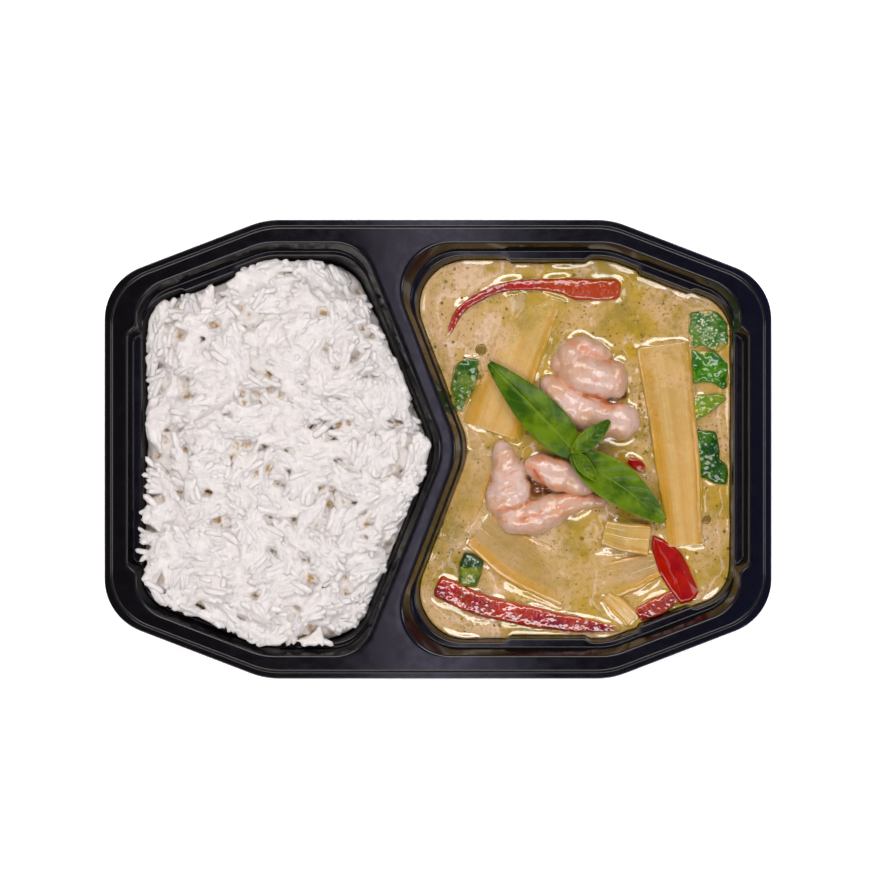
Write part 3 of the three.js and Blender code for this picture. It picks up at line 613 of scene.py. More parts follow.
def sauce_colour(shader):
    """The sauce's own colours: cream and tan patches, olive clouds and dark specks of herb."""
    cream = shader.span(shader.noise(38, 3, 0.6), 0.38, 0.64)
    oily = shader.span(shader.noise(54, 5, 0.72), 0.46, 0.64)
    place = shader.split(shader.place)
    beside_divider = shader.span(place["X"], 0.01, 0.022, 0.8, 0.0)
    far_side = shader.span(place["Y"], 0.034, 0.044)
    thick_corner = shader.math("MULTIPLY", beside_divider, far_side)
    cream = shader.math("MAXIMUM", cream, thick_corner)
    oily = shader.math("SUBTRACT", oily, thick_corner)
    ground = shader.mix(cream, GOLD, CREAM)
    ground = shader.mix(shader.math("MULTIPLY", oily, 0.8), ground, OLIVE)
    mottle = shader.span(shader.noise(620, 3, 0.6), 0.5, 0.66, 0.0, 0.5)
    ground = shader.mix(mottle, ground, OLIVE)
    thick = shader.span(shader.noise(46, 3), 0.38, 0.66, 0.0, 0.07)
    fine = shader.span(shader.math("ADD", shader.noise(850, 2, 0.4), thick), 0.69, 0.76, 0.0, 0.85)
    herb = shader.span(shader.noise(60, 2), 0.36, 0.66, 0.0, 0.2)
    large = shader.span(shader.cells(230), shader.math("MULTIPLY", herb, 0.6), herb, 0.9, 0.0)
    return shader.mix(shader.math("MAXIMUM", fine, large), ground, SPECK)


# %% A film of sauce
def under_film(shader, colour, height=1.2, cover=0.5, above=1.0):
    """colour with sauce on it: thin at its top, whole at the sauce's level, patchy by cover.
    A piece may carry its own amount in the attribute film."""
    z = shader.split(shader.place)["Z"]
    low = (SAUCE_LEVEL + above) * MM
    rising = shader.span(z, low, low + height * MM, 1.0, 0.0)
    broken = shader.span(shader.noise(130, 4, 0.7), 0.38, 0.62)
    film = shader.math("MAXIMUM", rising, shader.math("MULTIPLY", broken, cover))
    streaks = shader.span(shader.noise(90, 4), 0.2, 0.5, 0.6, 1.0)
    own = shader.math("MULTIPLY", shader.attribute("film"), streaks)
    share = shader.math("MAXIMUM", shader.math("MULTIPLY", film, 0.9), own)
    return shader.mix(share, colour, sauce_colour(shader))


# %% [markdown]
# ## Bamboo shoots
# A slice of bamboo shoot is a thin plate of long fibres. Its long edges are golden, more so on
# one side, and a fine darker line runs near each, where the shoot's layers part. A bevelled box
# would be too straight, so each slice is a nearly square section carried along a bent path.
# The fibres are noise stretched along the slice's own UV map, so they follow its bend. Some
# slices dip under the sauce at one end, so each has its own film at its start, middle and end.

# %% The bamboo's finish
def bamboo_material(name, dark, light):
    shader = Shader(
        name, Roughness=0.3, Coat_Weight=0.8,
        Subsurface_Weight=0.25, Subsurface_Scale=0.004, Subsurface_Radius=(1.0, 0.7, 0.3))
    uv = shader.uv()
    fibres = shader.noise(1.0, 2, 0.5, shader.stretched((40, 1100, 1), uv))
    bands = shader.noise(1.0, 2, 0.5, shader.stretched((9, 220, 1), uv))
    pale = shader.mix(shader.span(bands, 0.35, 0.65), dark, light)
    lined = shader.mix(shader.span(fibres, 0.4, 0.75, 0.0, 0.24), pale, rgb(178, 132, 48))
    across = shader.math("ABSOLUTE", shader.split(uv)["Y"])
    edge = shader.span(across, 0.58 * SIDE, 0.8 * SIDE)
    from_groove = shader.math("ABSOLUTE", shader.math("SUBTRACT", across, 0.74 * SIDE))
    groove = shader.span(from_groove, 0, 0.05 * SIDE, 0.3, 0)
    band = shader.span(shader.split(uv)["Y"], -0.62 * SIDE, -0.42 * SIDE, 0.95, 0.0)
    golden = shader.mix(shader.math("MAXIMUM", edge, band), lined, rgb(192, 138, 4))
    shader.colour(under_film(shader, shader.mix(groove, golden, rgb(150, 104, 30)), 0.6, 0.4, 0.4))
    shader.bump((fibres, 0.12), (bands, 0.35), (shader.noise(420, 2), 0.1))
    return shader.material


# %% The film along a slice
def coat_with_film(bm, stations):
    """Gives each point its share of sauce film, from the piece's start, middle and end."""
    layer = bm.verts.layers.float.new("film")
    along = bm.loops.layers.uv.active
    run = max(corner[along].uv.x for face in bm.faces for corner in face.loops)
    for face in bm.faces:
        for corner in face.loops:
            share = corner[along].uv.x / run
            corner.vert[layer] = float(np.interp(share, (0, 0.5, 1), stations))


# %% The bamboo slices
# Path, half widths, half heights, roll and the sauce film at start, middle and end.
BAMBOO = {
    "bamboo_1": ([(38.2, 59.5, 24.2), (28.5, 33, 25.2), (19.5, 6.5, 25.8)],
                 [10.2, 10, 11], [1.6, 1.8, 1.7], 0.07, (0.75, 0.3, 0.0)),
    "bamboo_2": ([(85, 40, 25.9), (90, 2, 26.6), (93.8, -36.8, 26)],
                 [10.2, 8.8, 6.8], [1.8, 1.9, 1.7], -0.05, (0.8, 0.15, 0.0)),
    "bamboo_3": ([(15.5, -29.5, 26), (32, -42, 25.6), (51, -51, 24.4)],
                 [8.5, 10, 10.5], [1.5, 1.7, 1.5], -0.08, (0.2, 0.35, 0.7)),
    "bamboo_4": ([(62.5, -31.5, 26.4), (71, -33.5, 27.2), (80.2, -34.5, 27)],
                 [4.8, 5.6, 6], [2.2, 2.4, 2.2], -0.08, (1.0, 0.6, 0.2)),
    "bamboo_5": ([(62, -51, 25), (72, -47.5, 26.3), (84, -43.5, 26)],
                 [7.5, 6.8, 4.6], [1.3, 1.4, 1.2], -0.1, (1.0, 0.5, 0.1)),
    "bamboo_6": ([(63.6, -55.3, 26), (69, -60, 26.4), (74, -65, 25.8)],
                 [2.3, 3.4, 3.6], [1.3, 1.4, 1.2], 0.0, (0.3, 0.1, 0.4)),
    "bamboo_7": ([(16.8, -1, 24.9), (11.5, -17, 25.1), (4.5, -34, 24.7)],
                 [6, 6.6, 5], [1.4, 1.6, 1.4], 0.04, (0.5, 0.6, 1.0)),
}
SUNK = ("bamboo_3", "bamboo_5", "bamboo_7")
BAMBOO_FINISH = bamboo_material("bamboo", rgb(198, 152, 76), rgb(208, 170, 100))
# The slices mostly under the sauce get a darker, more olive finish: partly the thin sauce over them, partly
# painted shade.
SUNK_SHADED_FINISH = bamboo_material("bamboo_sunk", rgb(150, 120, 46), rgb(166, 134, 74))
lying_in = []
for name, (points, breadths, heights, roll, film) in BAMBOO.items():
    bm = swept(points, breadths, heights, roll, square=0.9, wobble=0.12, facets=48, end=0.6)
    coat_with_film(bm, film)
    finish = SUNK_SHADED_FINISH if name in SUNK else BAMBOO_FINISH
    lying_in.append(as_object(name + "_look", bm, finish, [name]))
print("bamboo slices:", len(BAMBOO), "of them mostly under the sauce:", len(SUNK))

# %% [markdown]
# ## Red peppers
# The strips are cut pepper, wet and finely wrinkled, so their flesh glitters. Wrinkles could be
# painted on as colour, but only relief glitters, so cell-shaped bumps lie under a sharp gloss.
# The sections are ovals with round ends, again along a path. The broad piece near the end wall
# and the smallest one lie skin side up, and their bumps are nearly flat.

# %% The peppers' finishes
def pepper_material(name, dark, light, edge, wrinkles, cover, coat, far_end=None):
    shader = Shader(
        name, Roughness=0.1, Specular_IOR_Level=0.4 + coat, Coat_Weight=coat, Coat_Roughness=0.06)
    patches = shader.span(shader.noise(110, 4, 0.6), 0.35, 0.7)
    side = shader.span(shader.split(shader.uv())["Y"], 0.2 * SIDE, 0.9 * SIDE)
    flesh = shader.mix(patches, dark, light)
    flesh = shader.mix(side, flesh, edge)
    if far_end:
        beyond = shader.span(shader.split(shader.place)["X"], 0.03, 0.044)
        flesh = shader.mix(beyond, flesh, far_end)
    shader.colour(under_film(shader, flesh, 0.4, cover))
    shader.bump((shader.noise(420, 1.5, 0.4), wrinkles * 1.7), (shader.cells(330), wrinkles * 0.6))
    return shader.material


PEPPER_FLESH = pepper_material(
    "pepper_flesh", rgb(116, 2, 8), rgb(164, 26, 10), rgb(172, 54, 8), 0.4, 0.12, 0.5)
PEPPER_ORANGE = pepper_material(
    "pepper_orange", rgb(120, 6, 8), rgb(164, 32, 16), rgb(168, 52, 8), 0.26, 0.04, 0.2, rgb(158, 52, 0))
PEPPER_SKIN = pepper_material(
    "pepper_skin", rgb(132, 6, 0), rgb(164, 24, 0), rgb(146, 8, 0), 0.02, 0.0, 0.0)

# %% The pepper strips
# Path, half widths, half heights and finish.
RED_STRIPS = {
    "red_pepper_1": (
        [(3, 42, 25.8), (9.5, 53.5, 26.4), (23.5, 61, 26.4), (40, 62.4, 26.2), (55, 60.6, 26.2),
         (70, 60.6, 26)],
        [1.2, 1.6, 1.8, 2.4, 4.4, 4.2], [1.4, 2, 2, 2, 2.2, 2], PEPPER_ORANGE),
    "red_pepper_2": (
        [(-1, -51.5, 26), (15.9, -58.8, 26.8), (33.7, -63.1, 26.8), (51, -66.2, 26.2),
         (69.5, -68.2, 25.8)],
        [4.6, 4.4, 4.2, 3.2, 1.4], [2.4, 2.6, 2.6, 2.2, 1.4], PEPPER_FLESH),
    "red_pepper_4": (
        [(75.2, -63.3, 25.8), (82, -60, 26.3), (90.5, -55.5, 25.6)],
        [3.2, 3.6, 3.2], [1.8, 2, 1.8], PEPPER_FLESH),
    "red_pepper_5": (
        [(71.5, -3.6, 25.8), (75, -5.6, 26.3), (79, -8.6, 25.6)],
        [1.6, 2.3, 1.6], [1.4, 1.5, 1.3], PEPPER_SKIN),
}
for name, (points, breadths, heights, finish) in RED_STRIPS.items():
    end = 3.2 if finish == PEPPER_ORANGE else 1.6
    bm = swept(points, breadths, heights, square=0.45, wobble=0.22, end=end)
    lying_in.append(as_object(name + "_look", bm, finish, [name]))
print("pepper strips:", len(RED_STRIPS))

# %% The broad piece with its folded side
BROAD_PIECE = [
    (81.1, -32.1), (80.7, -37.4), (83.3, -46.9), (87.9, -54.1), (91.7, -59.0), (95.7, -58.0),
    (100.6, -54.1), (96.6, -44.3), (92.8, -38.8), (85.6, -34.0),
]
FOLD_X, FOLD_Y, FOLD_OUT = 93.6, -48, (0.92, 0.38, 0)
FOLD_SLOPE, FOLD_DROP = 0.3, 0.9
bm = plate(BROAD_PIECE, 26.4, 3.2, radius=0.7, crown=0.5, wobble=0.03, heading=-60)
bmesh.ops.bisect_plane(
    bm, geom=bm.verts[:] + bm.edges[:] + bm.faces[:], plane_co=(FOLD_X, FOLD_Y, 27), plane_no=FOLD_OUT)
for vert in bm.verts:
    beyond = (vert.co.x - FOLD_X) * FOLD_OUT[0] + (vert.co.y - FOLD_Y) * FOLD_OUT[1]
    if beyond > 0:
        vert.co.z -= min(beyond * FOLD_SLOPE, FOLD_DROP)
print("points in the broad piece:", len(bm.verts))
lying_in.append(as_object("red_pepper_3_look", bm, PEPPER_SKIN, ["red_pepper_3"]))

# %% [markdown]
# ## Cooked green leaves and a cut pod
# Leaves in the sauce are limp, torn and glossy, and froth clings to them. A single leaf shape
# could be used again and again, but each torn piece has its own corners, so each is a flat
# piece of its own. The froth is a pattern of small pale cells laid over the green: thick on
# the leaf in the far corner and thin on the others. The pod is a thicker piece, dark skin at
# one end and paler cut flesh at the other.

# %% The leaves' finish
def leaf_material(name, dark, light, froth=0.0, gloss=0.12):
    shader = Shader(name, Roughness=gloss, Coat_Weight=0.2, Coat_Roughness=0.06)
    green = shader.mix(shader.span(shader.noise(150, 4, 0.7), 0.38, 0.62), dark, light)
    bubbles = shader.span(shader.cells(780), froth * 0.6, froth + 0.001, 1.0, 0.0)
    patch = shader.span(shader.noise(120, 3, 0.6), 0.4, 0.58)
    foam = shader.math("MULTIPLY", bubbles, patch)
    shader.colour(under_film(shader, shader.mix(foam, green, rgb(178, 180, 144)), 0.3, 0.0))
    shader.bump((shader.noise(190, 2, 0.5), 0.9), (shader.cells(520), 0.08 + froth * 0.4))
    return shader.material


# %% The green leaves
# Corners in mm, the middle's height, thickness, bulge and finish.
GREENS = {
    "green_leaf_1": (
        [(94.8, 44.8), (95.4, 38.4), (100.8, 38.5), (106.6, 36.8), (110.2, 39.6), (109.8, 47.6),
         (106.4, 52.0), (100.8, 53.0), (95.2, 51.8)], 26.2, 2.6, 0.5,
        leaf_material("leaf_frothy", rgb(36, 90, 6), rgb(90, 120, 26), 0.4, 0.25)),
    "green_leaf_2": (
        [(95.8, 38.0), (96.0, 31.5), (96.6, 24.8), (103.2, 25.2), (108.6, 22.0), (110.4, 26.0),
         (109.8, 32.6), (105.0, 37.2)], 26.3, 2.6, 0.7,
        leaf_material("leaf_bright", rgb(28, 86, 0), rgb(68, 122, 0), 0.06)),
    "green_leaf_3": (
        [(96.2, 15.2), (97.3, 10.0), (102.9, 13.9), (109.3, 18.6), (108.3, 21.2), (96.8, 20.6)],
        26.6, 1.6, 0.3,
        leaf_material("leaf_lime", rgb(94, 124, 0), rgb(128, 142, 10), 0.05)),
    "green_leaf_4": (
        [(97.3, -3.3), (98.9, -10.5), (105.6, -13.6), (110.1, -13.8), (109.9, -5.9), (107.0, -3.7),
         (106.6, 1.6), (105.5, 6.9), (97.7, 7.6)], 26.4, 2.8, 0.6,
        leaf_material("leaf_deep", rgb(16, 60, 0), rgb(60, 100, 12), 0.1)),
    "green_leaf_5": (
        [(4.6, 23.9), (5.0, 17.0), (7.9, 12.8), (10.2, 15.0), (14.0, 23.9), (16.6, 30.8),
         (15.7, 34.3), (9.8, 35.1), (5.9, 31.3)], 26.2, 2.4, 0.5,
        leaf_material("leaf_sunk", rgb(34, 76, 0), rgb(94, 116, 30), 0.16, 0.16)),
}
for name, (corners, middle, thickness, crown, finish) in GREENS.items():
    bm = plate(corners, middle, thickness, radius=1.2, crown=crown, wobble=0.35)
    lying_in.append(as_object(name + "_look", bm, finish, [name]))
print("green leaves:", len(GREENS))


# %% The cut pod
def pod_material():
    shader = Shader("pod", Roughness=0.18, Coat_Weight=0.8)
    along = shader.split(shader.uv())["X"]
    ragged = shader.math("ADD", along, shader.math("MULTIPLY", shader.noise(160), 3 * MM))
    cut = shader.span(ragged, 0.6 * MM, 1.5 * MM)
    flesh = shader.mix(shader.span(shader.noise(260, 4), 0.4, 0.6), rgb(62, 86, 0), rgb(116, 124, 18))
    shader.colour(under_film(shader, shader.mix(cut, rgb(22, 58, 2), flesh), 0.4, 0.0))
    shader.bump((shader.noise(240, 4), 0.7))
    return shader.material


POD = [(7.8, -43.9), (7.8, -51.8), (14.8, -52.4), (16.6, -47.3), (17.4, -42.4), (13.6, -39.5), (9.8, -38.8)]
bm = plate(POD, 26.8, 4.6, radius=1.0, crown=0.6, wobble=0.25, heading=-90)
lying_in.append(as_object("green_pod_look", bm, pod_material(), ["green_pod"]))
print("pieces in the sauce so far:", len(lying_in))

# %% [markdown]
# ## Prawns
# A peeled, cooked prawn is a curled row of body rings, white with a coral blush. Every ring and
# fold could be sculpted, but that is slow to change. Here each stretch of the body is an oval
# section carried along a path and drawn in at each fold between two rings, the rounder parts
# are ellipsoids, and all of them are melted into one skin. The flesh lets some light in. The
# blush is a value kept on each point, by its distance to a few lines along the back and the
# folds, so it follows the body.

# %% The prawns' flesh
def prawn_material():
    shader = Shader(
        "prawn", Roughness=0.3, Coat_Weight=0.6,
        Subsurface_Weight=0.45, Subsurface_Scale=0.004, Subsurface_Radius=(1.0, 0.5, 0.35))
    blush = shader.attribute("blush")
    uneven = shader.span(shader.noise(200, 5, 0.7), 0.3, 0.7, -0.35, 0.35)
    mottled = shader.math("ADD", blush, uneven)
    mottled = shader.math("MULTIPLY", mottled, shader.span(blush, 0.02, 0.3))
    flesh = shader.mix(shader.span(shader.noise(75, 4), 0.42, 0.6), rgb(208, 176, 164), rgb(196, 154, 126))
    pink = shader.mix(shader.span(mottled, 0.05, 0.75), flesh, rgb(204, 140, 108))
    deep = shader.mix(shader.span(mottled, 0.7, 1.3), pink, rgb(164, 76, 34))
    creamy = shader.span(shader.noise(260, 4, 0.7), 0.55, 0.7, 0.0, 0.5)
    shader.colour(under_film(shader, shader.mix(creamy, deep, rgb(196, 158, 112)), 1.0, 0.12))
    strands = shader.noise(1.0, 3, 0.6, shader.stretched((900, 380, 700)))
    shader.bump((shader.noise(150, 3), 0.2), (strands, 0.16))
    return shader.material


# %% [markdown]
# ## Melting shapes into one
# Overlapping shapes have to become one soft skin, here and again for the rice. A Boolean union
# would keep every crease sharp. A voxel Remesh modifier fills the shapes with small cubes and
# wraps one skin round them, and a little smoothing then softens its creases. A hollow that is
# sealed inside gets a skin too, so only the largest connected part is kept.

# %% Melting
def keep_largest(bm):
    """Deletes all but the largest connected part, such as the skins of sealed hollows."""
    left, largest = set(bm.verts), set()
    while left:
        part = {left.pop()}
        frontier = list(part)
        while frontier:
            vert = frontier.pop()
            found = {edge.other_vert(vert) for edge in vert.link_edges} & left
            left -= found
            part |= found
            frontier += found
        if len(part) > len(largest):
            largest = part
    bmesh.ops.delete(bm, geom=[vert for vert in bm.verts if vert not in largest], context="VERTS")


def fused(mesh, voxel, smoothing):
    """Overlapping closed shapes as one skin, its creases softened. The mesh given is used up."""
    rough = bpy.data.objects.new("rough", mesh)
    bpy.context.scene.collection.objects.link(rough)
    remesh = rough.modifiers.new("melt", "REMESH")
    remesh.mode = "VOXEL"
    remesh.voxel_size = voxel
    bm = bmesh.new()
    bm.from_object(rough, bpy.context.evaluated_depsgraph_get())
    bpy.data.objects.remove(rough)
    bpy.data.meshes.remove(mesh)
    keep_largest(bm)
    for _ in range(smoothing):
        bmesh.ops.smooth_vert(
            bm, verts=bm.verts, factor=0.5, use_axis_x=True, use_axis_y=True, use_axis_z=True)
    return bm


# %% A prawn's body
FOLD_DEPTH, FOLD_WIDTH = 0.09, 0.14


def folded(values, folds):
    """Half sizes along an arm, drawn in at each fold between two rings of the body."""
    made = []
    for share in np.linspace(0, 1, 61):
        from_fold = (share * folds) % 1 - 0.5
        narrowed = 1 - FOLD_DEPTH * math.exp(-(from_fold / FOLD_WIDTH) ** 2)
        made.append(between(values, share) * narrowed)
    return made


def melted(arms, swellings, voxel=0.55, smoothing=7):
    """One soft skin from arms (path, half breadths, half heights, folds) and ellipsoids
    (x, y, z, half length, half breadth, half height, heading)."""
    mesh = bpy.data.meshes.new("arms")
    bm = bmesh.new()
    for path, breadths, heights, folds in arms:
        arm = swept(path, folded(breadths, folds), folded(heights, folds), wobble=0.0, stations=70, facets=24)
        arm.to_mesh(mesh)
        arm.free()
        bm.from_mesh(mesh)
    for x, y, z, length, breadth, height, heading in swellings:
        size = Matrix.Diagonal((length, breadth, height, 1))
        turn = Matrix.Rotation(math.radians(heading), 4, "Z")
        place = Matrix.Translation((x, y, z))
        bmesh.ops.create_icosphere(bm, subdivisions=3, radius=1, matrix=place @ turn @ size)
    bmesh.ops.recalc_face_normals(bm, faces=bm.faces)
    bm.to_mesh(mesh)
    bm.free()
    bm = fused(mesh, voxel, smoothing)
    for vert in bm.verts:
        swell = 0.2 + noise.noise(vert.co * 0.22) * 0.5 + noise.noise(vert.co * 0.8) * 0.13
        vert.co += vert.normal * swell
    return bm


# %% The blush
def paint_blush(bm, strokes):
    """Each stroke is (points, radius, strength). The strongest one counts."""
    layer = bm.verts.layers.float.new("blush")
    lines = [([Vector(p) for p in points], radius, strength) for points, radius, strength in strokes]
    for vert in bm.verts:
        flat = vert.co.xy
        strongest = 0.0
        for points, radius, strength in lines:
            for a, b in zip(points, points[1:]):
                share = min(max((flat - a).dot(b - a) / (b - a).length_squared, 0), 1)
                near = (flat - a.lerp(b, share)).length / radius
                strongest = max(strongest, strength * math.exp(-near * near))
        vert[layer] = strongest


# %% The three prawns
# Arms, swellings and blush strokes of each.
PRAWNS = {
    "prawn_1": (
        [
            ([(40.2, 27.6, 25.4), (44, 22.6, 26), (49.4, 17.6, 26.4), (56, 13.4, 26.5), (63, 11.4, 26.6),
              (70, 10.8, 26.5), (76.4, 12.4, 26)],
             [4.2, 5.2, 6.2, 6.8, 6.9, 7.2, 5.4], [4.2, 5.4, 6.0, 6.4, 6.4, 6.2, 4.8], 6),
            ([(49.5, 40.5, 26.4), (54.5, 38.8, 27), (60, 36.4, 26.6), (66, 35, 25.8)],
             [3.0, 4.2, 4.4, 2.6], [3.6, 5.2, 4.8, 3.2], 3),
        ],
        [
            (54.6, 28.8, 27.4, 9.4, 8.2, 7.0, -28), (61.0, 26.4, 27.4, 8.6, 7.6, 6.8, -12),
            (50.4, 34.6, 27.0, 5.2, 7.4, 6.0, 0), (67.4, 26.6, 26.9, 4.4, 7.2, 6.0, 4),
            (45.2, 32.2, 26.0, 2.6, 4.0, 3.6, 12),
        ],
        [
            ([(49, 41.6), (53, 39.2), (56.4, 35.8), (60, 35)], 2.2, 0.7),
            ([(60, 35), (64.6, 33.2), (67, 34.2)], 1.4, 0.9),
            ([(44.5, 28.6), (47, 25.4), (51, 22.2), (55, 20.6)], 1.1, 0.8),
            ([(55, 20.6), (60, 19.6), (64, 17.6), (69.4, 17.4)], 1.3, 1.3),
            ([(62, 15.6), (67, 16)], 2.0, 0.5),
            ([(76.6, 18), (79, 14), (79.6, 9.2)], 1.5, 0.9),
            ([(56, 27.5), (61, 25.5), (66, 22)], 2.0, 0.25),
        ]),
    "prawn_2": (
        [
            ([(23.6, 3.4, 27.2), (25.0, -3, 27.6), (26.6, -9, 27.4), (27, -15, 27), (26, -21, 26.6),
              (26.4, -27, 26)],
             [2.4, 4.4, 6.4, 8.2, 7.8, 5.6], [2.2, 4.0, 5.4, 5.9, 5.8, 5.0], 5),
            ([(22.6, -24.4, 25.6), (29, -26.4, 26), (37, -25.6, 26.2), (44.5, -22.4, 26.4), (51, -20.4, 26.4),
              (57.6, -19.6, 26.7), (64, -19.8, 27)],
             [4.6, 6.0, 6.8, 6.2, 4.4, 3.0, 2.0], [4.6, 5.6, 6.0, 5.2, 4.2, 2.4, 1.0], 6),
        ],
        [(22.8, -18.4, 26.2, 4.4, 5.2, 4.6, 80)],
        [
            ([(23.5, -22.8), (28, -22.4), (33, -20.8), (37.5, -18.3)], 1.2, 0.8),
            ([(31.5, -26.6), (35, -25.5), (38.5, -24)], 1.2, 0.95),
            ([(22.5, -26), (27.4, -26.2)], 1.3, 0.5),
            ([(45, -16.8), (50, -17.8), (55, -17.8), (61, -17.8)], 1.6, 1.0),
            ([(46, -25), (52, -23.6), (58, -22.4), (65, -21)], 1.0, 0.5),
            ([(34.2, -9), (35.6, -14), (36, -17.5)], 1.4, 0.6),
            ([(19.6, -14), (20.8, -8), (23, -2)], 1.0, 0.35),
            ([(29.6, -3), (32.4, -8), (33.6, -12)], 1.0, 0.5),
            ([(22.4, -7.6), (28.2, -4.4)], 0.6, 0.4), ([(21.6, -12), (30.4, -7.6)], 0.6, 0.4),
            ([(21.4, -16.6), (31.6, -12)], 0.6, 0.4),
            ([(26, -27.5), (36, -25.5), (46, -22)], 4.5, 0.3),
        ]),
    "prawn_3": (
        [
            ([(32.6, -5.6, 27), (38.6, -7.0, 27.6), (45, -9.4, 27.8), (52, -12.6, 27.5), (58.4, -16.2, 26.9)],
             [3.6, 5.4, 6.2, 4.8, 3.0], [3.4, 4.8, 5.0, 4.4, 2.8], 4),
        ],
        [],
        [
            ([(34.5, -6.5), (37.5, -10), (40, -13.6)], 1.6, 0.9),
            ([(40, -13.6), (46, -15), (52, -17.2)], 1.3, 0.7),
            ([(36, -3.4), (41, -3), (50, -4.8)], 1.7, 0.7),
            ([(56, -13.2), (60, -16.6)], 1.1, 0.6),
        ]),
}
PRAWN_FINISH = prawn_material()
for name, (arms, swellings, strokes) in PRAWNS.items():
    bm = melted(arms, swellings)
    paint_blush(bm, strokes)
    print(name, "faces:", len(bm.faces))
    lying_in.append(as_object(name + "_look", bm, PRAWN_FINISH, [name]))

# %% [markdown]
# ## The basil sprig
# The garnish is two long leaves, two young ones and the stub of their stem. A leaf could be cut
# out of a plane by its outline, but then nothing would know where its midrib runs. So a grid is
# bent along the midrib and its sides are drawn in to both ends. The blade folds at the midrib
# and swells between side veins, and bmesh's solidify gives it thickness. The grid's own place,
# along and across, is the UV map that draws the veins' colour.

# %% The leaves of the sprig
VEINS, VEIN_SLANT = 7.0, 1.5
BASIL = [
    # path, half width, widest at, fold, waves, quilting
    ([(51.5, -1.4, 33.4), (44.5, 6.5, 34), (32.5, 19, 32.6), (19.3, 32.6, 30)], 7.3, 0.36, -1.1, 0.35, 0.1),
    ([(50.8, -1.2, 33.4), (59, -7.4, 34), (72, -16.2, 33.2), (85.4, -27.2, 29.6)], 7.2, 0.42, 0.9, 0.4, 0.5),
    ([(51, -0.6, 34), (57.5, 4.6, 36), (64.4, 10.8, 36.2)], 3.3, 0.45, 1.0, 0.2, 0.2),
    ([(51.4, -1.6, 34.2), (55.2, -6.6, 36.2), (59.4, -11.6, 36.6)], 2.5, 0.45, 0.9, 0.2, 0.2),
]


# %% One basil leaf
def basil_leaf(bm, points, half_width, widest, fold, waves, quilting):
    """Adds a leaf's blade to bm and returns the place along and across of each of its points."""
    curve = smooth_path(points)
    # A sine makes the leaf's outline, and this power moves its widest place to widest.
    power = math.log(0.5) / math.log(widest)
    grid = bmesh.ops.create_grid(bm, x_segments=70, y_segments=22, size=1)["verts"]
    places = {vert: ((vert.co.x + 1) / 2, vert.co.y) for vert in grid}
    for vert, (share, side) in places.items():
        taper = math.sin(math.pi * (0.04 + 0.92 * share) ** power) ** 0.85
        width = half_width * taper + 0.35
        centre, level, upright = frame_at(curve, share)
        between_veins = abs(math.sin(math.pi * (share * VEINS - abs(side) * VEIN_SLANT))) ** 0.7
        lift = fold * abs(side) ** 1.5 + waves * math.sin(share * 17 + side) * side ** 2
        lift += quilting * taper * (between_veins - 0.5) * (1 - side ** 4)
        lift -= 0.35 * math.exp(-(side / 0.07) ** 2)
        vert.co = centre + level * side * width + upright * lift
    return places


# %% The basil's green
def basil_material():
    shader = Shader("basil", Roughness=0.3, Specular_IOR_Level=0.15)
    place = shader.split(shader.uv())
    side = shader.math("ABSOLUTE", place["Y"])
    run = shader.math("MULTIPLY", place["X"], VEINS)
    run = shader.math("SUBTRACT", run, shader.math("MULTIPLY", side, VEIN_SLANT))
    run = shader.math("ADD", run, shader.math("MULTIPLY", shader.noise(90), 0.8))
    wave = shader.math("ABSOLUTE", shader.math("SINE", shader.math("MULTIPLY", run, math.pi)))
    vein = shader.math("MULTIPLY", shader.span(wave, 0.0, 0.3, 1.0, 0.0), 0.14)
    rib = shader.math("MULTIPLY", shader.span(side, 0.0, 0.07, 1.0, 0.0), 0.6)
    rim = shader.math("MULTIPLY", shader.span(side, 0.94, 1.0), 0.7)
    pale = shader.math("MAXIMUM", shader.math("MAXIMUM", vein, rib), rim)
    blade = shader.mix(shader.span(shader.noise(90, 4, 0.6), 0.36, 0.66), rgb(38, 72, 0), rgb(92, 118, 2))
    shader.colour(shader.mix(pale, blade, rgb(122, 140, 26)))
    shader.bump((shader.noise(900, 3), 0.06), (shader.noise(220, 2), 0.15))
    return shader.material


# %% The sprig
STEM_RINGS, STEM_SIDES = 7, 14
bm = bmesh.new()
places = {}
for leaf in BASIL:
    places.update(basil_leaf(bm, *leaf))
set_uv(bm, places)
bmesh.ops.recalc_face_normals(bm, faces=bm.faces)
bmesh.ops.solidify(bm, geom=list(bm.faces), thickness=0.5)
stem = smooth_path([(50.2, -2.2, 30.4), (50.9, -1, 32.4), (51.2, -0.6, 34.6)])
loop = None
for i in range(STEM_RINGS):
    share = i / (STEM_RINGS - 1)
    centre, level, upright = frame_at(stem, 0.02 + 0.96 * share)
    radius = between([1.3, 1.5, 1.2], share)
    points = [centre + (level * math.cos(a) + upright * math.sin(a)) * radius
              for a in (2 * math.pi * k / STEM_SIDES for k in range(STEM_SIDES))]
    loop = next_ring(bm, loop, points) if loop else first_ring(bm, points)
    if share in (0, 1):
        close(bm, loop)
print("basil faces:", len(bm.faces))
as_object("basil_look", bm, basil_material(), ["basil_sprig"])

# %% [markdown]
# ## Filling a well
# Sauce and rice both fill their well to the wall. A block cut to the well by a Boolean would
# have a flat top, so the skin is built from rings. It starts where the surface meets the wall,
# runs inward in many small rings to the middle, and then runs down the wall to the floor. A
# height function shapes the top, so one helper serves both.

# %% A filled well
WALL_STEP, WALL_DEPTH = 0.5, 37.0


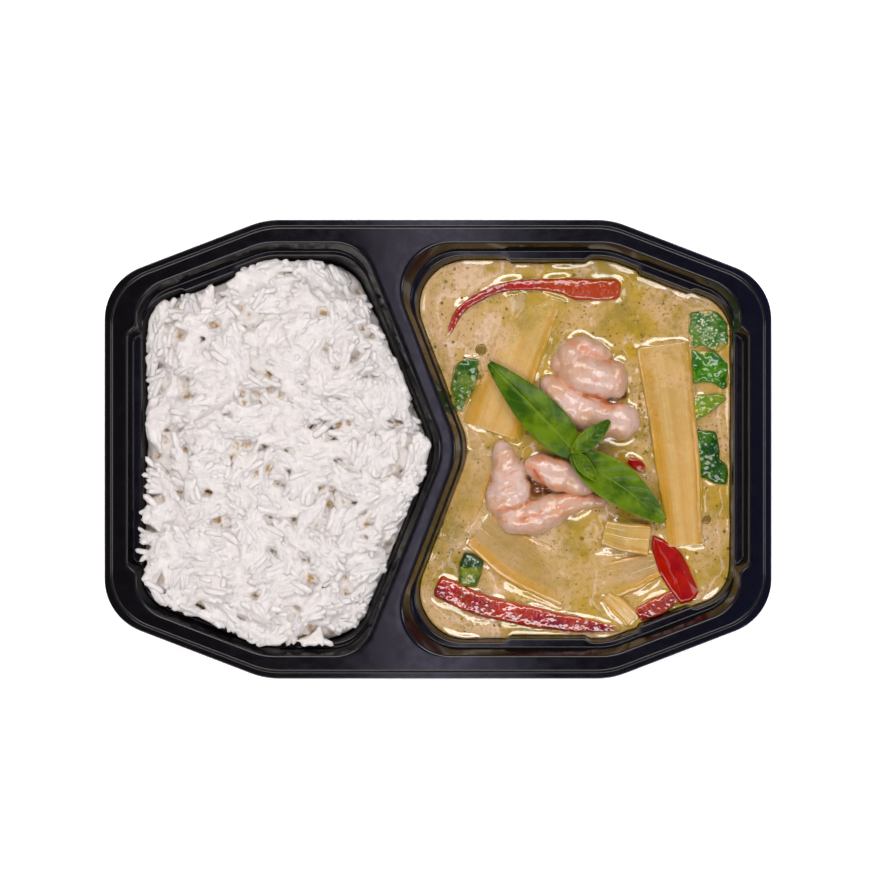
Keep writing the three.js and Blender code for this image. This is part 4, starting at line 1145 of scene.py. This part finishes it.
def filled_well(well, hub, margin, spacing, rings, height_at):
    """A closed solid in a well. height_at(x, y) gives the top in millimetres."""
    depths = np.arange(0, WALL_DEPTH, WALL_STEP)
    rows = [well_ring(well, station_at(depth), margin, spacing) for depth in depths]
    count, floor = len(rows[0]), depths[-1]

    def on_wall(j, depth):
        """Point j of the wall's ring at a depth."""
        place = min(max(depth / WALL_STEP, 0), len(rows) - 1.001)
        first = int(place)
        return rows[first][j].lerp(rows[first + 1][j], place - first)

    # The edge's depth and its place depend on each other, so they are found in three rounds.
    edge_depths = [TRAY_TOP - SAUCE_LEVEL] * count
    for _ in range(3):
        places = [on_wall(j, edge_depths[j]) for j in range(count)]
        edge_depths = [TRAY_TOP - height_at(place.x, place.y) for place in places]
    edge = [on_wall(j, edge_depths[j]) for j in range(count)]
    bm = bmesh.new()
    edge_loop = first_ring(bm, edge)
    loop = edge_loop
    middle = Vector((hub.x, hub.y, 0))
    for i in range(1, rings):
        inner = [place.lerp(middle, i / rings) for place in edge]
        loop = next_ring(bm, loop, [Vector((p.x, p.y, height_at(p.x, p.y))) for p in inner])
    close(bm, loop)
    loop = edge_loop
    for share in (0.15, 0.4, 0.7, 1.0):
        points = [on_wall(j, edge_depths[j] + (floor - edge_depths[j]) * share) for j in range(count)]
        loop = next_ring(bm, loop, points)
    close(bm, loop)
    return bm


# %% [markdown]
# ## The sauce
# Sauce wets what it touches. It climbs a little up the wall and the pieces and laps over the
# low ones, and that thin curve shows as a bright line round everything in the dish. A flat top
# with a bump map would miss it, so every point of the top gets its own height, from its
# distance to the nearest piece and to the wall. A BVH tree finds those quickly. Between the
# prawns the surface dips into a few hollows, and a dark brown is painted there as shade.

# %% Search trees over the pieces and the wall
ABOVE_ALL = 60.0
seen = bpy.context.evaluated_depsgraph_get()


def tree_of(objects):
    """A search tree over several objects, in millimetres, and the name each face belongs to."""
    verts, faces, owners = [], [], []
    for obj in objects:
        mesh = obj.evaluated_get(seen).to_mesh()
        start = len(verts)
        verts += [v.co / MM for v in mesh.vertices]
        faces += [[start + i for i in face.vertices] for face in mesh.polygons]
        owners += [obj.name] * len(mesh.polygons)
    return BVHTree.FromPolygons(verts, faces), owners


def top_of(tree, x, y):
    """The height at which a ray from above meets a tree's surfaces, or None where it doesn't."""
    hit = tree.ray_cast(Vector((x, y, ABOVE_ALL)), Vector((0, 0, -1)))[0]
    return hit.z if hit else None


pieces_tree, pieces_owners = tree_of(lying_in)
wall_tree = tree_of([tray])[0]
print("faces that the sauce can meet:", len(pieces_owners))

# %% Hollows between the prawns, darkened with painted shade
# Middle and reach of each, in mm.
DEEP_SPOTS = [(36.6, -11.6, 2.8), (37.6, -15.4, 3.2), (41.6, -15.4, 2.6), (70.4, 20.6, 1.6)]
HOLLOW_DEPTH = 2.2


def hollow_at(x, y):
    """How far a place lies in one of the hollows, 0 to 1. The sauce dips there and is painted darker as
    shade.
    """
    away = min(math.hypot(x - spot_x, y - spot_y) / reach for spot_x, spot_y, reach in DEEP_SPOTS)
    return math.exp(-away * away)


print("hollow in the middle of the first:", hollow_at(*DEEP_SPOTS[0][:2]))

# %% The height of the sauce
CLIMB, CLIMB_REACH = 1.15, 1.7
CLINGS = {"bamboo": 1.5, "green_": 0.45}
LOOK_ROUND = 0.8
TURNS = np.linspace(0, 2 * math.pi, 8, endpoint=False)
AROUND = [Vector((math.cos(a), math.sin(a))) * LOOK_ROUND for a in TURNS]


def top_at(flat):
    """The height of whatever lies in the sauce at a place, 0 where nothing does."""
    return top_of(pieces_tree, flat.x, flat.y) or 0.0


def sauce_height(x, y):
    """The sauce's level with its climb beside pieces and walls. It climbs less beside low ones."""
    at = Vector((x, y, SAUCE_LEVEL))
    level = SAUCE_LEVEL + 0.22 * noise.noise(Vector((x, y, 0)) * 0.09)
    level -= hollow_at(x, y) * HOLLOW_DEPTH
    # How far the sauce climbs drifts from place to place, less so beside the wall.
    drift = noise.noise(Vector((x, y, 9)) * 0.12)
    uneven = CLIMB * min(max(0.62 + 1.1 * drift, 0.12), 1.1)
    wall = wall_tree.find_nearest(at)[3]
    climb = CLIMB * min(max(0.9 + 0.8 * drift, 0.5), 1.15) * math.exp(-max(wall - 0.3, 0) / CLIMB_REACH)
    place, normal, face, distance = pieces_tree.find_nearest(at)
    if distance < 4 * CLIMB_REACH:
        uneven *= CLINGS.get(pieces_owners[face][:6], 1.0)
        if (at - place).dot(normal) < 0:
            # Under a piece the sauce stays just below its top, and near its edge it laps over.
            tops = [top_at(at.xy + step) for step in AROUND]
            if min(tops) > level - 0.6:
                return level + min(uneven, max(top_at(at.xy) - level - 0.25, 0.0))
            return level + min(uneven, max(max(tops) - level, 0.1) * 0.8)
        onto = place.xy + (place.xy - at.xy).normalized() * LOOK_ROUND
        room = max(top_at(onto) - level, 0.1)
        climb = max(climb, min(uneven, room * 0.8) * math.exp(-distance / CLIMB_REACH))
    return level + climb


# %% The sauce's finish
def sauce_material():
    shader = Shader(
        "curry_sauce", Roughness=0.14, Specular_IOR_Level=0.8, Coat_Weight=0.8, Coat_Roughness=0.06,
        Subsurface_Weight=0.12, Subsurface_Scale=0.003, Subsurface_Radius=(1.0, 0.7, 0.3))
    # The hollows between the prawns are painted dark brown, as shade.
    shader.colour(shader.mix(shader.attribute("hollow"), sauce_colour(shader), rgb(118, 60, 22)))
    shader.rough(shader.span(shader.noise(90, 3), 0.35, 0.7, 0.1, 0.22))
    froth = shader.math("MULTIPLY", shader.cells(800), shader.span(shader.noise(42, 3), 0.56, 0.7))
    shader.bump((shader.noise(110, 3), 0.22), (froth, 0.16))
    return shader.material


# %% The sauce's skin
SPACING, RINGS = ((0.9, 118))
WALL_GAP = 0.15
bm = filled_well(CURRY_WELL, CURRY_HUB, WALL_GAP, SPACING, RINGS, sauce_height)
# Painted shade: how far each point lies in a hollow.
layer = bm.verts.layers.float.new("hollow")
for vert in bm.verts:
    vert[layer] = smoothstep(hollow_at(vert.co.x, vert.co.y), 0.1, 0.7)
print("sauce faces:", len(bm.faces))
as_object("sauce_look", bm, sauce_material(), ["curry_sauce"])

# %% [markdown]
# ## Oil drops
# Olive oil floats on the sauce in flat drops. Spots of colour would do for the smallest, but a
# large one catches the light at its edge, so all are real: each is a flattened sphere half
# sunk in the surface. A few large ones are listed, and many small ones are strewn by a
# seeded draw, so they fall in the same places every time.

# %% Where drops of oil may float
def in_curry(x, y, margin=4.0):
    """True where a point lies inside the curry well at the sauce's level."""
    polygon = well_ring(CURRY_WELL, station_at(TRAY_TOP - SAUCE_LEVEL), margin, 4.0)
    inside = False
    for i, b in enumerate(polygon):
        a = polygon[i - 1]
        if (a.y > y) != (b.y > y) and x < (b.x - a.x) * (y - a.y) / (b.y - a.y) + a.x:
            inside = not inside
    return inside


# Place and radius of the large drops. The small ones are added below.
DROPS = [(16.3, 37.6, 2.3), (15.2, 27.4, 1.5), (34.1, 6.2, 1.6), (101.7, -26.5, 1.9), (28.8, 38.0, 1.1)]
SMALL_DROPS, DROP_GAP = 60, 0.8
rng = np.random.default_rng(11)
small = 0
while small < SMALL_DROPS:
    x, y = rng.uniform(-5, 110), rng.uniform(-70, 70)
    radius = 0.3 + 0.6 * rng.random() ** 3
    at = Vector((x, y, SAUCE_LEVEL))
    near = pieces_tree.find_nearest(at)
    if in_curry(x, y) and near[3] > radius + DROP_GAP and (at - near[0]).dot(near[1]) > 0:
        DROPS.append((x, y, radius))
        small += 1
print("drops of oil:", len(DROPS))


# %% The drops
FLATNESS, FLOAT = 0.16, 0.02


def oil_material():
    shader = Shader("oil", Roughness=0.3, Coat_Weight=0.15)
    shader.colour(shader.mix(shader.noise(500, 2), rgb(96, 70, 0), rgb(134, 104, 0)))
    shader.bump((shader.noise(300, 2), 0.03))
    return shader.material


bm = bmesh.new()
for x, y, radius in DROPS:
    place = Matrix.Translation((x, y, sauce_height(x, y) + FLOAT))
    size = Matrix.Diagonal((radius, radius, radius * FLATNESS, 1))
    bmesh.ops.create_uvsphere(bm, u_segments=20, v_segments=8, radius=1, matrix=place @ size)
as_object("oil_drops", bm, oil_material())

# %% [markdown]
# ## The rice
# Cooked rice sticks together in clumps, each with its grains lying much the same way, with
# crevices between the clumps and small pits between grains, and the shade in both is painted
# in tan. A smooth heap with a bump map would look like dough. So the heap has three layers: a
# bed that fills the well, painted a little darker as shade, a crust of thousands of grains
# melted together where they touch, and loose grains on top. All three follow one height: the
# imported heap's, found by a ray cast down, raised and lowered by clumps and pits from a
# seeded draw.

# %% Clumps and pits
heap_tree = tree_of([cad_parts["rice"]])[0]

# Blender's vector noise takes its seed from the clock unless it is given one.
noise.seed_set(8)

# Clumps: middle, lift, slope and heading of the grains in each.
rng = np.random.default_rng(8)
CLUMPS, PIT_COUNT = 130, 150
CLUMP_MIDDLES = np.column_stack([rng.uniform(-118, 4, CLUMPS), rng.uniform(-78, 78, CLUMPS)])
CLUMP_LIFTS = rng.uniform(-2.2, 0.6, CLUMPS)
CLUMP_SLOPES = rng.normal(0, 0.12, (CLUMPS, 2))
CLUMP_HEADINGS = rng.uniform(0, math.pi, CLUMPS)
clump_tree = KDTree(CLUMPS)
for i, (x, y) in enumerate(CLUMP_MIDDLES):
    clump_tree.insert((x, y, 0), i)
clump_tree.balance()
# Pits: place and reach of each.
PITS = np.column_stack([
    rng.uniform(-114, -2, PIT_COUNT),
    rng.uniform(-72, 72, PIT_COUNT),
    rng.uniform(0.4, 1.0, PIT_COUNT) ** 2 * 1.9,
])
print("widest pit reaches, mm:", round(PITS[:, 2].max(), 2))


def clump_at(x, y):
    """The clump at a place, how near its border is, and how near a pit between grains is."""
    warp = noise.noise_vector(Vector((x, y, 4)) * 0.2) * 2.5
    (_, first, near), (_, _, other) = clump_tree.find_n((x + warp.x, y + warp.y, 0), 2)
    bent = noise.noise_vector(Vector((x, y, 8)) * 0.6) * 1.4
    from_pits = (PITS[:, 0] - x - bent.x) ** 2 + (PITS[:, 1] - y - bent.y) ** 2
    pit = float(np.exp(-from_pits / PITS[:, 2] ** 2).max())
    return first, math.exp(-((other - near) / 1.6) ** 2), pit


# %% The height of the heap
# Beside the heap: the height to search from, and the highest that counts.
BESIDE, BESIDE_TOP = 28, 30.0
# How far a clump may sink and rise.
LOWEST, HIGHEST = -2.6, 0.6


def heap_height(x, y):
    """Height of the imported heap, or of its nearest part outside it, broken up into clumps."""
    height = top_of(heap_tree, x, y)
    if height is None:
        height = min(heap_tree.find_nearest(Vector((x, y, BESIDE)))[0].z, BESIDE_TOP)
    first, crevice, _ = clump_at(x, y)
    rise = CLUMP_LIFTS[first] + CLUMP_SLOPES[first] @ (np.array((x, y)) - CLUMP_MIDDLES[first])
    return height + min(max(rise, LOWEST), HIGHEST) - crevice


print("height in the middle of the rice, mm:", round(heap_height(*RICE_HUB), 1))


# %% The rice's finish
def rice_material(name, dark, light, gloss, pit=None):
    shader = Shader(
        name, Roughness=gloss, Specular_IOR_Level=0.3,
        Subsurface_Weight=0.25, Subsurface_Scale=0.002, Subsurface_Radius=(1.0, 0.9, 0.8))
    tone = shader.attribute("tone")
    speckle = shader.span(shader.noise(700, 3), 0.35, 0.65)
    grain = shader.mix(shader.math("MULTIPLY", shader.math("ADD", tone, speckle), 0.5), dark, light)
    if pit:
        # pit is the colour of painted shade in pits and deep recesses, laid on in patches.
        patchy_shade = shader.span(shader.noise(340, 3), 0.38, 0.6, 0.1, 1.0)
        grain = shader.mix(shader.math("MULTIPLY", shader.attribute("pit"), patchy_shade), grain, pit)
    shader.colour(grain)
    shader.bump((shader.noise(320, 4, 0.6), 0.45), (shader.noise(1400, 3), 0.05))
    return shader.material


# %% The bed under the grains
CORE_GAP, CORE_SPACING, CORE_RINGS = 0.6, 1.3, 80
CORE_DROP, PIT_DEPTH = 0.45, 2.0
WALL_DIP, WALL_DIP_REACH = 5.0, 2.0


def core_height(x, y):
    """The grains' bed: a little under the heap, deeper in pits and beside the wall."""
    wall = wall_tree.find_nearest(Vector((x, y, 31)))[3]
    beside_wall = WALL_DIP * math.exp(-max(wall - 1.0, 0) / WALL_DIP_REACH)
    return heap_height(x, y) - CORE_DROP - PIT_DEPTH * clump_at(x, y)[2] - beside_wall


bm = filled_well(RICE_WELL, RICE_HUB, CORE_GAP, CORE_SPACING, CORE_RINGS, core_height)
# Painted shade: the bed turns tan in the pits.
layer = bm.verts.layers.float.new("pit")
for vert in bm.verts:
    vert[layer] = smoothstep(clump_at(vert.co.x, vert.co.y)[2], 0.2, 0.8)
print("faces in the bed:", len(bm.faces))
# The bed is painted a little darker than the grains over it, as shade for lying lower.
core_look = rice_material("rice_core", rgb(206, 199, 193), rgb(219, 213, 208), 0.6, rgb(170, 134, 72))
as_object("rice_core", bm, core_look, ["rice"])

# %% [markdown]
# ## Grains of rice
# A cooked long grain is 8 to 10 mm long, full in the middle and a little bent. Thousands of
# objects would be slow, so one grain is modelled with few faces, and its points are turned,
# bent and sized anew as an array for each place. A draw is thrown away where the grain would
# lie over a pit, stand too high or reach through the wall.

# %% One grain
GRAIN_LENGTH, GRAIN_WIDTH = 9.2, 2.8
FULLER, LONGER = 1.18, 1.06
bm = bmesh.new()
bmesh.ops.create_uvsphere(bm, u_segments=6, v_segments=4, radius=1)
for vert in bm.verts:
    if 0.1 < abs(vert.co.z) < 0.9:
        vert.co = Vector((vert.co.x * FULLER, vert.co.y * FULLER, vert.co.z * LONGER))
bmesh.ops.triangulate(bm, faces=bm.faces)
grain_points = np.array([v.co[:] for v in bm.verts])
grain_faces = np.array([[v.index for v in face.verts] for face in bm.faces])
bm.free()
print("triangles in a grain:", len(grain_faces))


# %% Where a grain may lie
def wall_ring(z):
    """The rice well's ring at a height, as an array, a little inside the wall."""
    flat = well_ring(RICE_WELL, station_at(TRAY_TOP - z), 0.35, 3.0)
    return np.array([point.xy[:] for point in flat])


RING_LOW, RING_HIGH = 20, 38
WALL_RINGS = {z: wall_ring(z) for z in range(RING_LOW, RING_HIGH + 1)}
HIGHEST_GRAIN = 43.45
print("rings of the rice well's wall:", len(WALL_RINGS))


def inside_well(placed):
    """True where every point of a grain is inside the well at the grain's lowest level."""
    ring_points = WALL_RINGS[int(min(max(placed[:, 2].min(), RING_LOW), RING_HIGH))]
    x, y = placed[:, :1], placed[:, 1:2]
    ax, ay = ring_points[:, 0], ring_points[:, 1]
    bx, by = np.roll(ax, -1), np.roll(ay, -1)
    crossing = ((ay > y) != (by > y)) & (x < (bx - ax) * (y - ay) / (by - ay + 1e-9) + ax)
    return bool((crossing.sum(axis=1) % 2 == 1).all())


def over_pit(x, y, axis, length, width):
    """True where a grain along axis from (x, y) would cover a pit."""
    run = np.clip((PITS[:, :2] - (x, y)) @ axis, -length, length)
    from_pits = np.linalg.norm(PITS[:, :2] - (x, y) - run[:, None] * axis, axis=1)
    return bool((from_pits < PITS[:, 2] * 0.7 + width * 0.75).any())


# %% Strewing the grains
GRAINS, LOOSE = 5600, 2300
rng = np.random.default_rng(5)
points, tones = [], []
while len(points) < GRAINS:
    x, y = rng.uniform(-116, 1), rng.uniform(-76, 76)
    layer = rng.random()
    first = clump_at(x, y)[0]
    heading = CLUMP_HEADINGS[first] + rng.normal(0, 0.4)
    axis = np.array((math.cos(heading), math.sin(heading)))
    tip = rng.normal(0, 0.1) - CLUMP_SLOPES[first] @ axis
    length = GRAIN_LENGTH * rng.uniform(0.85, 1.12) / 2
    width = GRAIN_WIDTH * rng.uniform(0.85, 1.1) / 2
    shape = grain_points * (width, width, length)
    shape[:, 0] += rng.uniform(0.02, 0.08) * (shape[:, 2] ** 2) / 2
    turn = Matrix.Rotation(heading, 3, "Z") @ Matrix.Rotation(math.pi / 2 + tip, 3, "Y")
    turn = turn @ Matrix.Rotation(rng.uniform(0, 2 * math.pi), 3, "Z")
    # Loose grains lie 0.3 to 1.2 mm under the heap's height, and the crust's 0.3 to 1.5 mm.
    height = heap_height(x, y) - (1.2 - 0.9 * layer if len(points) < LOOSE else 1.5 - 1.2 * layer)
    placed = shape @ np.array(turn).T + (x, y, height)
    too_high = placed[:, 2].max() > HIGHEST_GRAIN
    if over_pit(x, y, axis, length, width) or too_high or not inside_well(placed):
        continue
    points.append(placed)
    tones.append(0.25 + 0.75 * rng.random())
print("grains strewn:", len(points))


# %% Grains joined into one mesh
count = len(grain_points)


def joined(name, shapes):
    """One mesh from the arrays of many grains."""
    faces = np.vstack([grain_faces + i * count for i in range(len(shapes))])
    mesh = bpy.data.meshes.new(name)
    mesh.from_pydata(np.vstack(shapes).tolist(), [], faces.tolist())
    return mesh


# %% The crust
CRUST_VOXEL = 0.68
bm = fused(joined("crust", points[LOOSE:]), CRUST_VOXEL, 1)
recess_shade = bm.verts.layers.float.new("pit")
tone = bm.verts.layers.float.new("tone")
for vert in bm.verts:
    vert.co += vert.normal * noise.noise(vert.co * 0.9) * 0.22
    x, y, z = vert.co
    depth = heap_height(x, y) - z
    # Painted shade: tan where the crust lies deep below the heap's height, and in pits.
    vert[recess_shade] = 0.45 * smoothstep(depth, 0.2, 1.6) + 0.55 * smoothstep(clump_at(x, y)[2], 0.15, 0.7)
    vert[tone] = 0.5 + noise.noise(vert.co * 0.25)
print("crust faces:", len(bm.faces))
crust_look = rice_material("rice_crust", rgb(209, 203, 199), rgb(224, 219, 216), 0.5, rgb(186, 156, 104))
as_object("rice_crust", bm, crust_look, ["rice"])

# %% Loose grains on top
mesh = joined("rice_grains", [shape * MM for shape in points[:LOOSE]])
mesh.attributes.new("tone", "FLOAT", "POINT").data.foreach_set("value", np.repeat(tones[:LOOSE], count))
mesh.shade_smooth()
mesh.materials.append(rice_material("rice", rgb(211, 205, 201), rgb(225, 220, 217), 0.5))
grains = bpy.data.objects.new("rice_grains", mesh)
bpy.context.scene.collection.objects.link(grains)
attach(grains, "root")
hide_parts("rice")
print("grains in the crust:", GRAINS - LOOSE, "loose on it:", LOOSE)

# %% [markdown]
# ## Floor, light and camera
# The tray stands on a bright white table. One lamp would leave one hard highlight, but wet food
# needs thin, long ones, so two long softboxes stand on the far and near sides, and edges that
# run along the tray carry thin white lines. Two weaker boxes light the ends, and a cool strip
# hangs overhead. The camera looks straight down through a long lens, so little of the wells'
# walls shows.

# %% Floor
FLOOR_DROP = 0.0002


def floor_material():
    shader = Shader("floor", Roughness=0.7, Emission_Color=(1, 1, 1, 1), Emission_Strength=0.35)
    shader.colour(shader.mix(shader.noise(3, 3), rgb(250, 250, 250), rgb(255, 255, 255)))
    return shader.material


bm = bmesh.new()
bmesh.ops.create_grid(bm, x_segments=1, y_segments=1, size=3)
mesh = bpy.data.meshes.new("floor")
bm.to_mesh(mesh)
bm.free()
mesh.materials.append(floor_material())
floor = bpy.data.objects.new("floor", mesh)
floor.location.z = -FLOOR_DROP
bpy.context.scene.collection.objects.link(floor)
print("floor under the tray, metres:", FLOOR_DROP)


# %% Light
def softbox(name, place, size, watts, colour):
    """A lit rectangle at a place in metres, turned towards the tray."""
    data = bpy.data.lights.new(name, "AREA")
    data.shape = "RECTANGLE"
    data.size, data.size_y = size
    data.energy = watts
    data.color = colour
    light = bpy.data.objects.new(name, data)
    light.location = place
    light.rotation_euler = (-Vector(place)).to_track_quat("-Z", "Y").to_euler()
    bpy.context.scene.collection.objects.link(light)


softbox("far_box", (0, 0.62, 1.0), (1.3, 0.32), 9.0, (1, 0.99, 0.97))
softbox("near_box", (0, -0.62, 1.0), (1.3, 0.32), 7.6, (1, 0.99, 0.97))
softbox("left_box", (-1.2, 0, 0.9), (0.3, 0.8), 2.4, (1.0, 0.96, 0.97))
softbox("right_box", (1.2, 0, 0.9), (0.3, 0.8), 2.4, (0.94, 0.97, 1.0))
softbox("top_strip", (0, 0, 2.0), (0.13, 2.2), 2.1, (0.8, 0.74, 1.0))
print("softboxes:", len(bpy.data.lights))

# %% [markdown]
# ## The room
# Black plastic shows what it mirrors, so the room matters as much as the lamps. A picture of a
# real room would need a file, and a few nodes are enough: the colour of the room depends on the
# direction alone. It is a dim grey all round, near black right overhead, and bluish overhead
# towards the curry's end, which keeps the black flange black.

# %% The room around
SIDES = (0.3, 0.27, 0.27, 1)
OVERHEAD, OVERHEAD_CURRY = (0.03, 0.02, 0.03), (0.03, 0.07, 0.3)
world = bpy.data.worlds.new("room")
world.use_nodes = True
tree = world.node_tree
toward = tree.nodes.new("ShaderNodeSeparateXYZ")
tree.links.new(tree.nodes.new("ShaderNodeTexCoord").outputs["Generated"], toward.inputs[0])
lift = tree.nodes.new("ShaderNodeMapRange")
lift.interpolation_type = "SMOOTHSTEP"
for socket, value in (("From Min", 0.8), ("From Max", 0.96), ("To Min", 0.0), ("To Max", 1.0)):
    lift.inputs[socket].default_value = value
tree.links.new(toward.outputs["Z"], lift.inputs["Value"])
ceiling = tree.nodes.new("ShaderNodeMapRange")
ceiling.data_type = "FLOAT_VECTOR"
# Socket 6 is the value, 7 and 8 are its range, and 9 and 10 are the range it turns into.
for socket, value in enumerate(((0.08,) * 3, (0.15,) * 3, OVERHEAD, OVERHEAD_CURRY), 7):
    ceiling.inputs[socket].default_value = value
tree.links.new(toward.outputs["X"], ceiling.inputs[6])
shade = tree.nodes.new("ShaderNodeMix")
shade.data_type = "RGBA"
shade.inputs[6].default_value = SIDES
tree.links.new(lift.outputs[0], shade.inputs["Factor"])
tree.links.new(ceiling.outputs[1], shade.inputs[7])
tree.links.new(shade.outputs[2], tree.nodes["Background"].inputs["Color"])
bpy.context.scene.world = world
print("nodes in the room:", len(tree.nodes))

# %% Camera
CAMERA_PLACE, LENS = (0.00187, 0.00234, 0.888), 92.3
view = bpy.data.cameras.new("camera")
view.sensor_width = 36
view.lens = LENS
camera = bpy.data.objects.new("camera", view)
camera.location = CAMERA_PLACE
bpy.context.scene.collection.objects.link(camera)
bpy.context.scene.camera = camera
bpy.context.scene.view_settings.view_transform = "Standard"
print("camera straight above, metres:", CAMERA_PLACE)
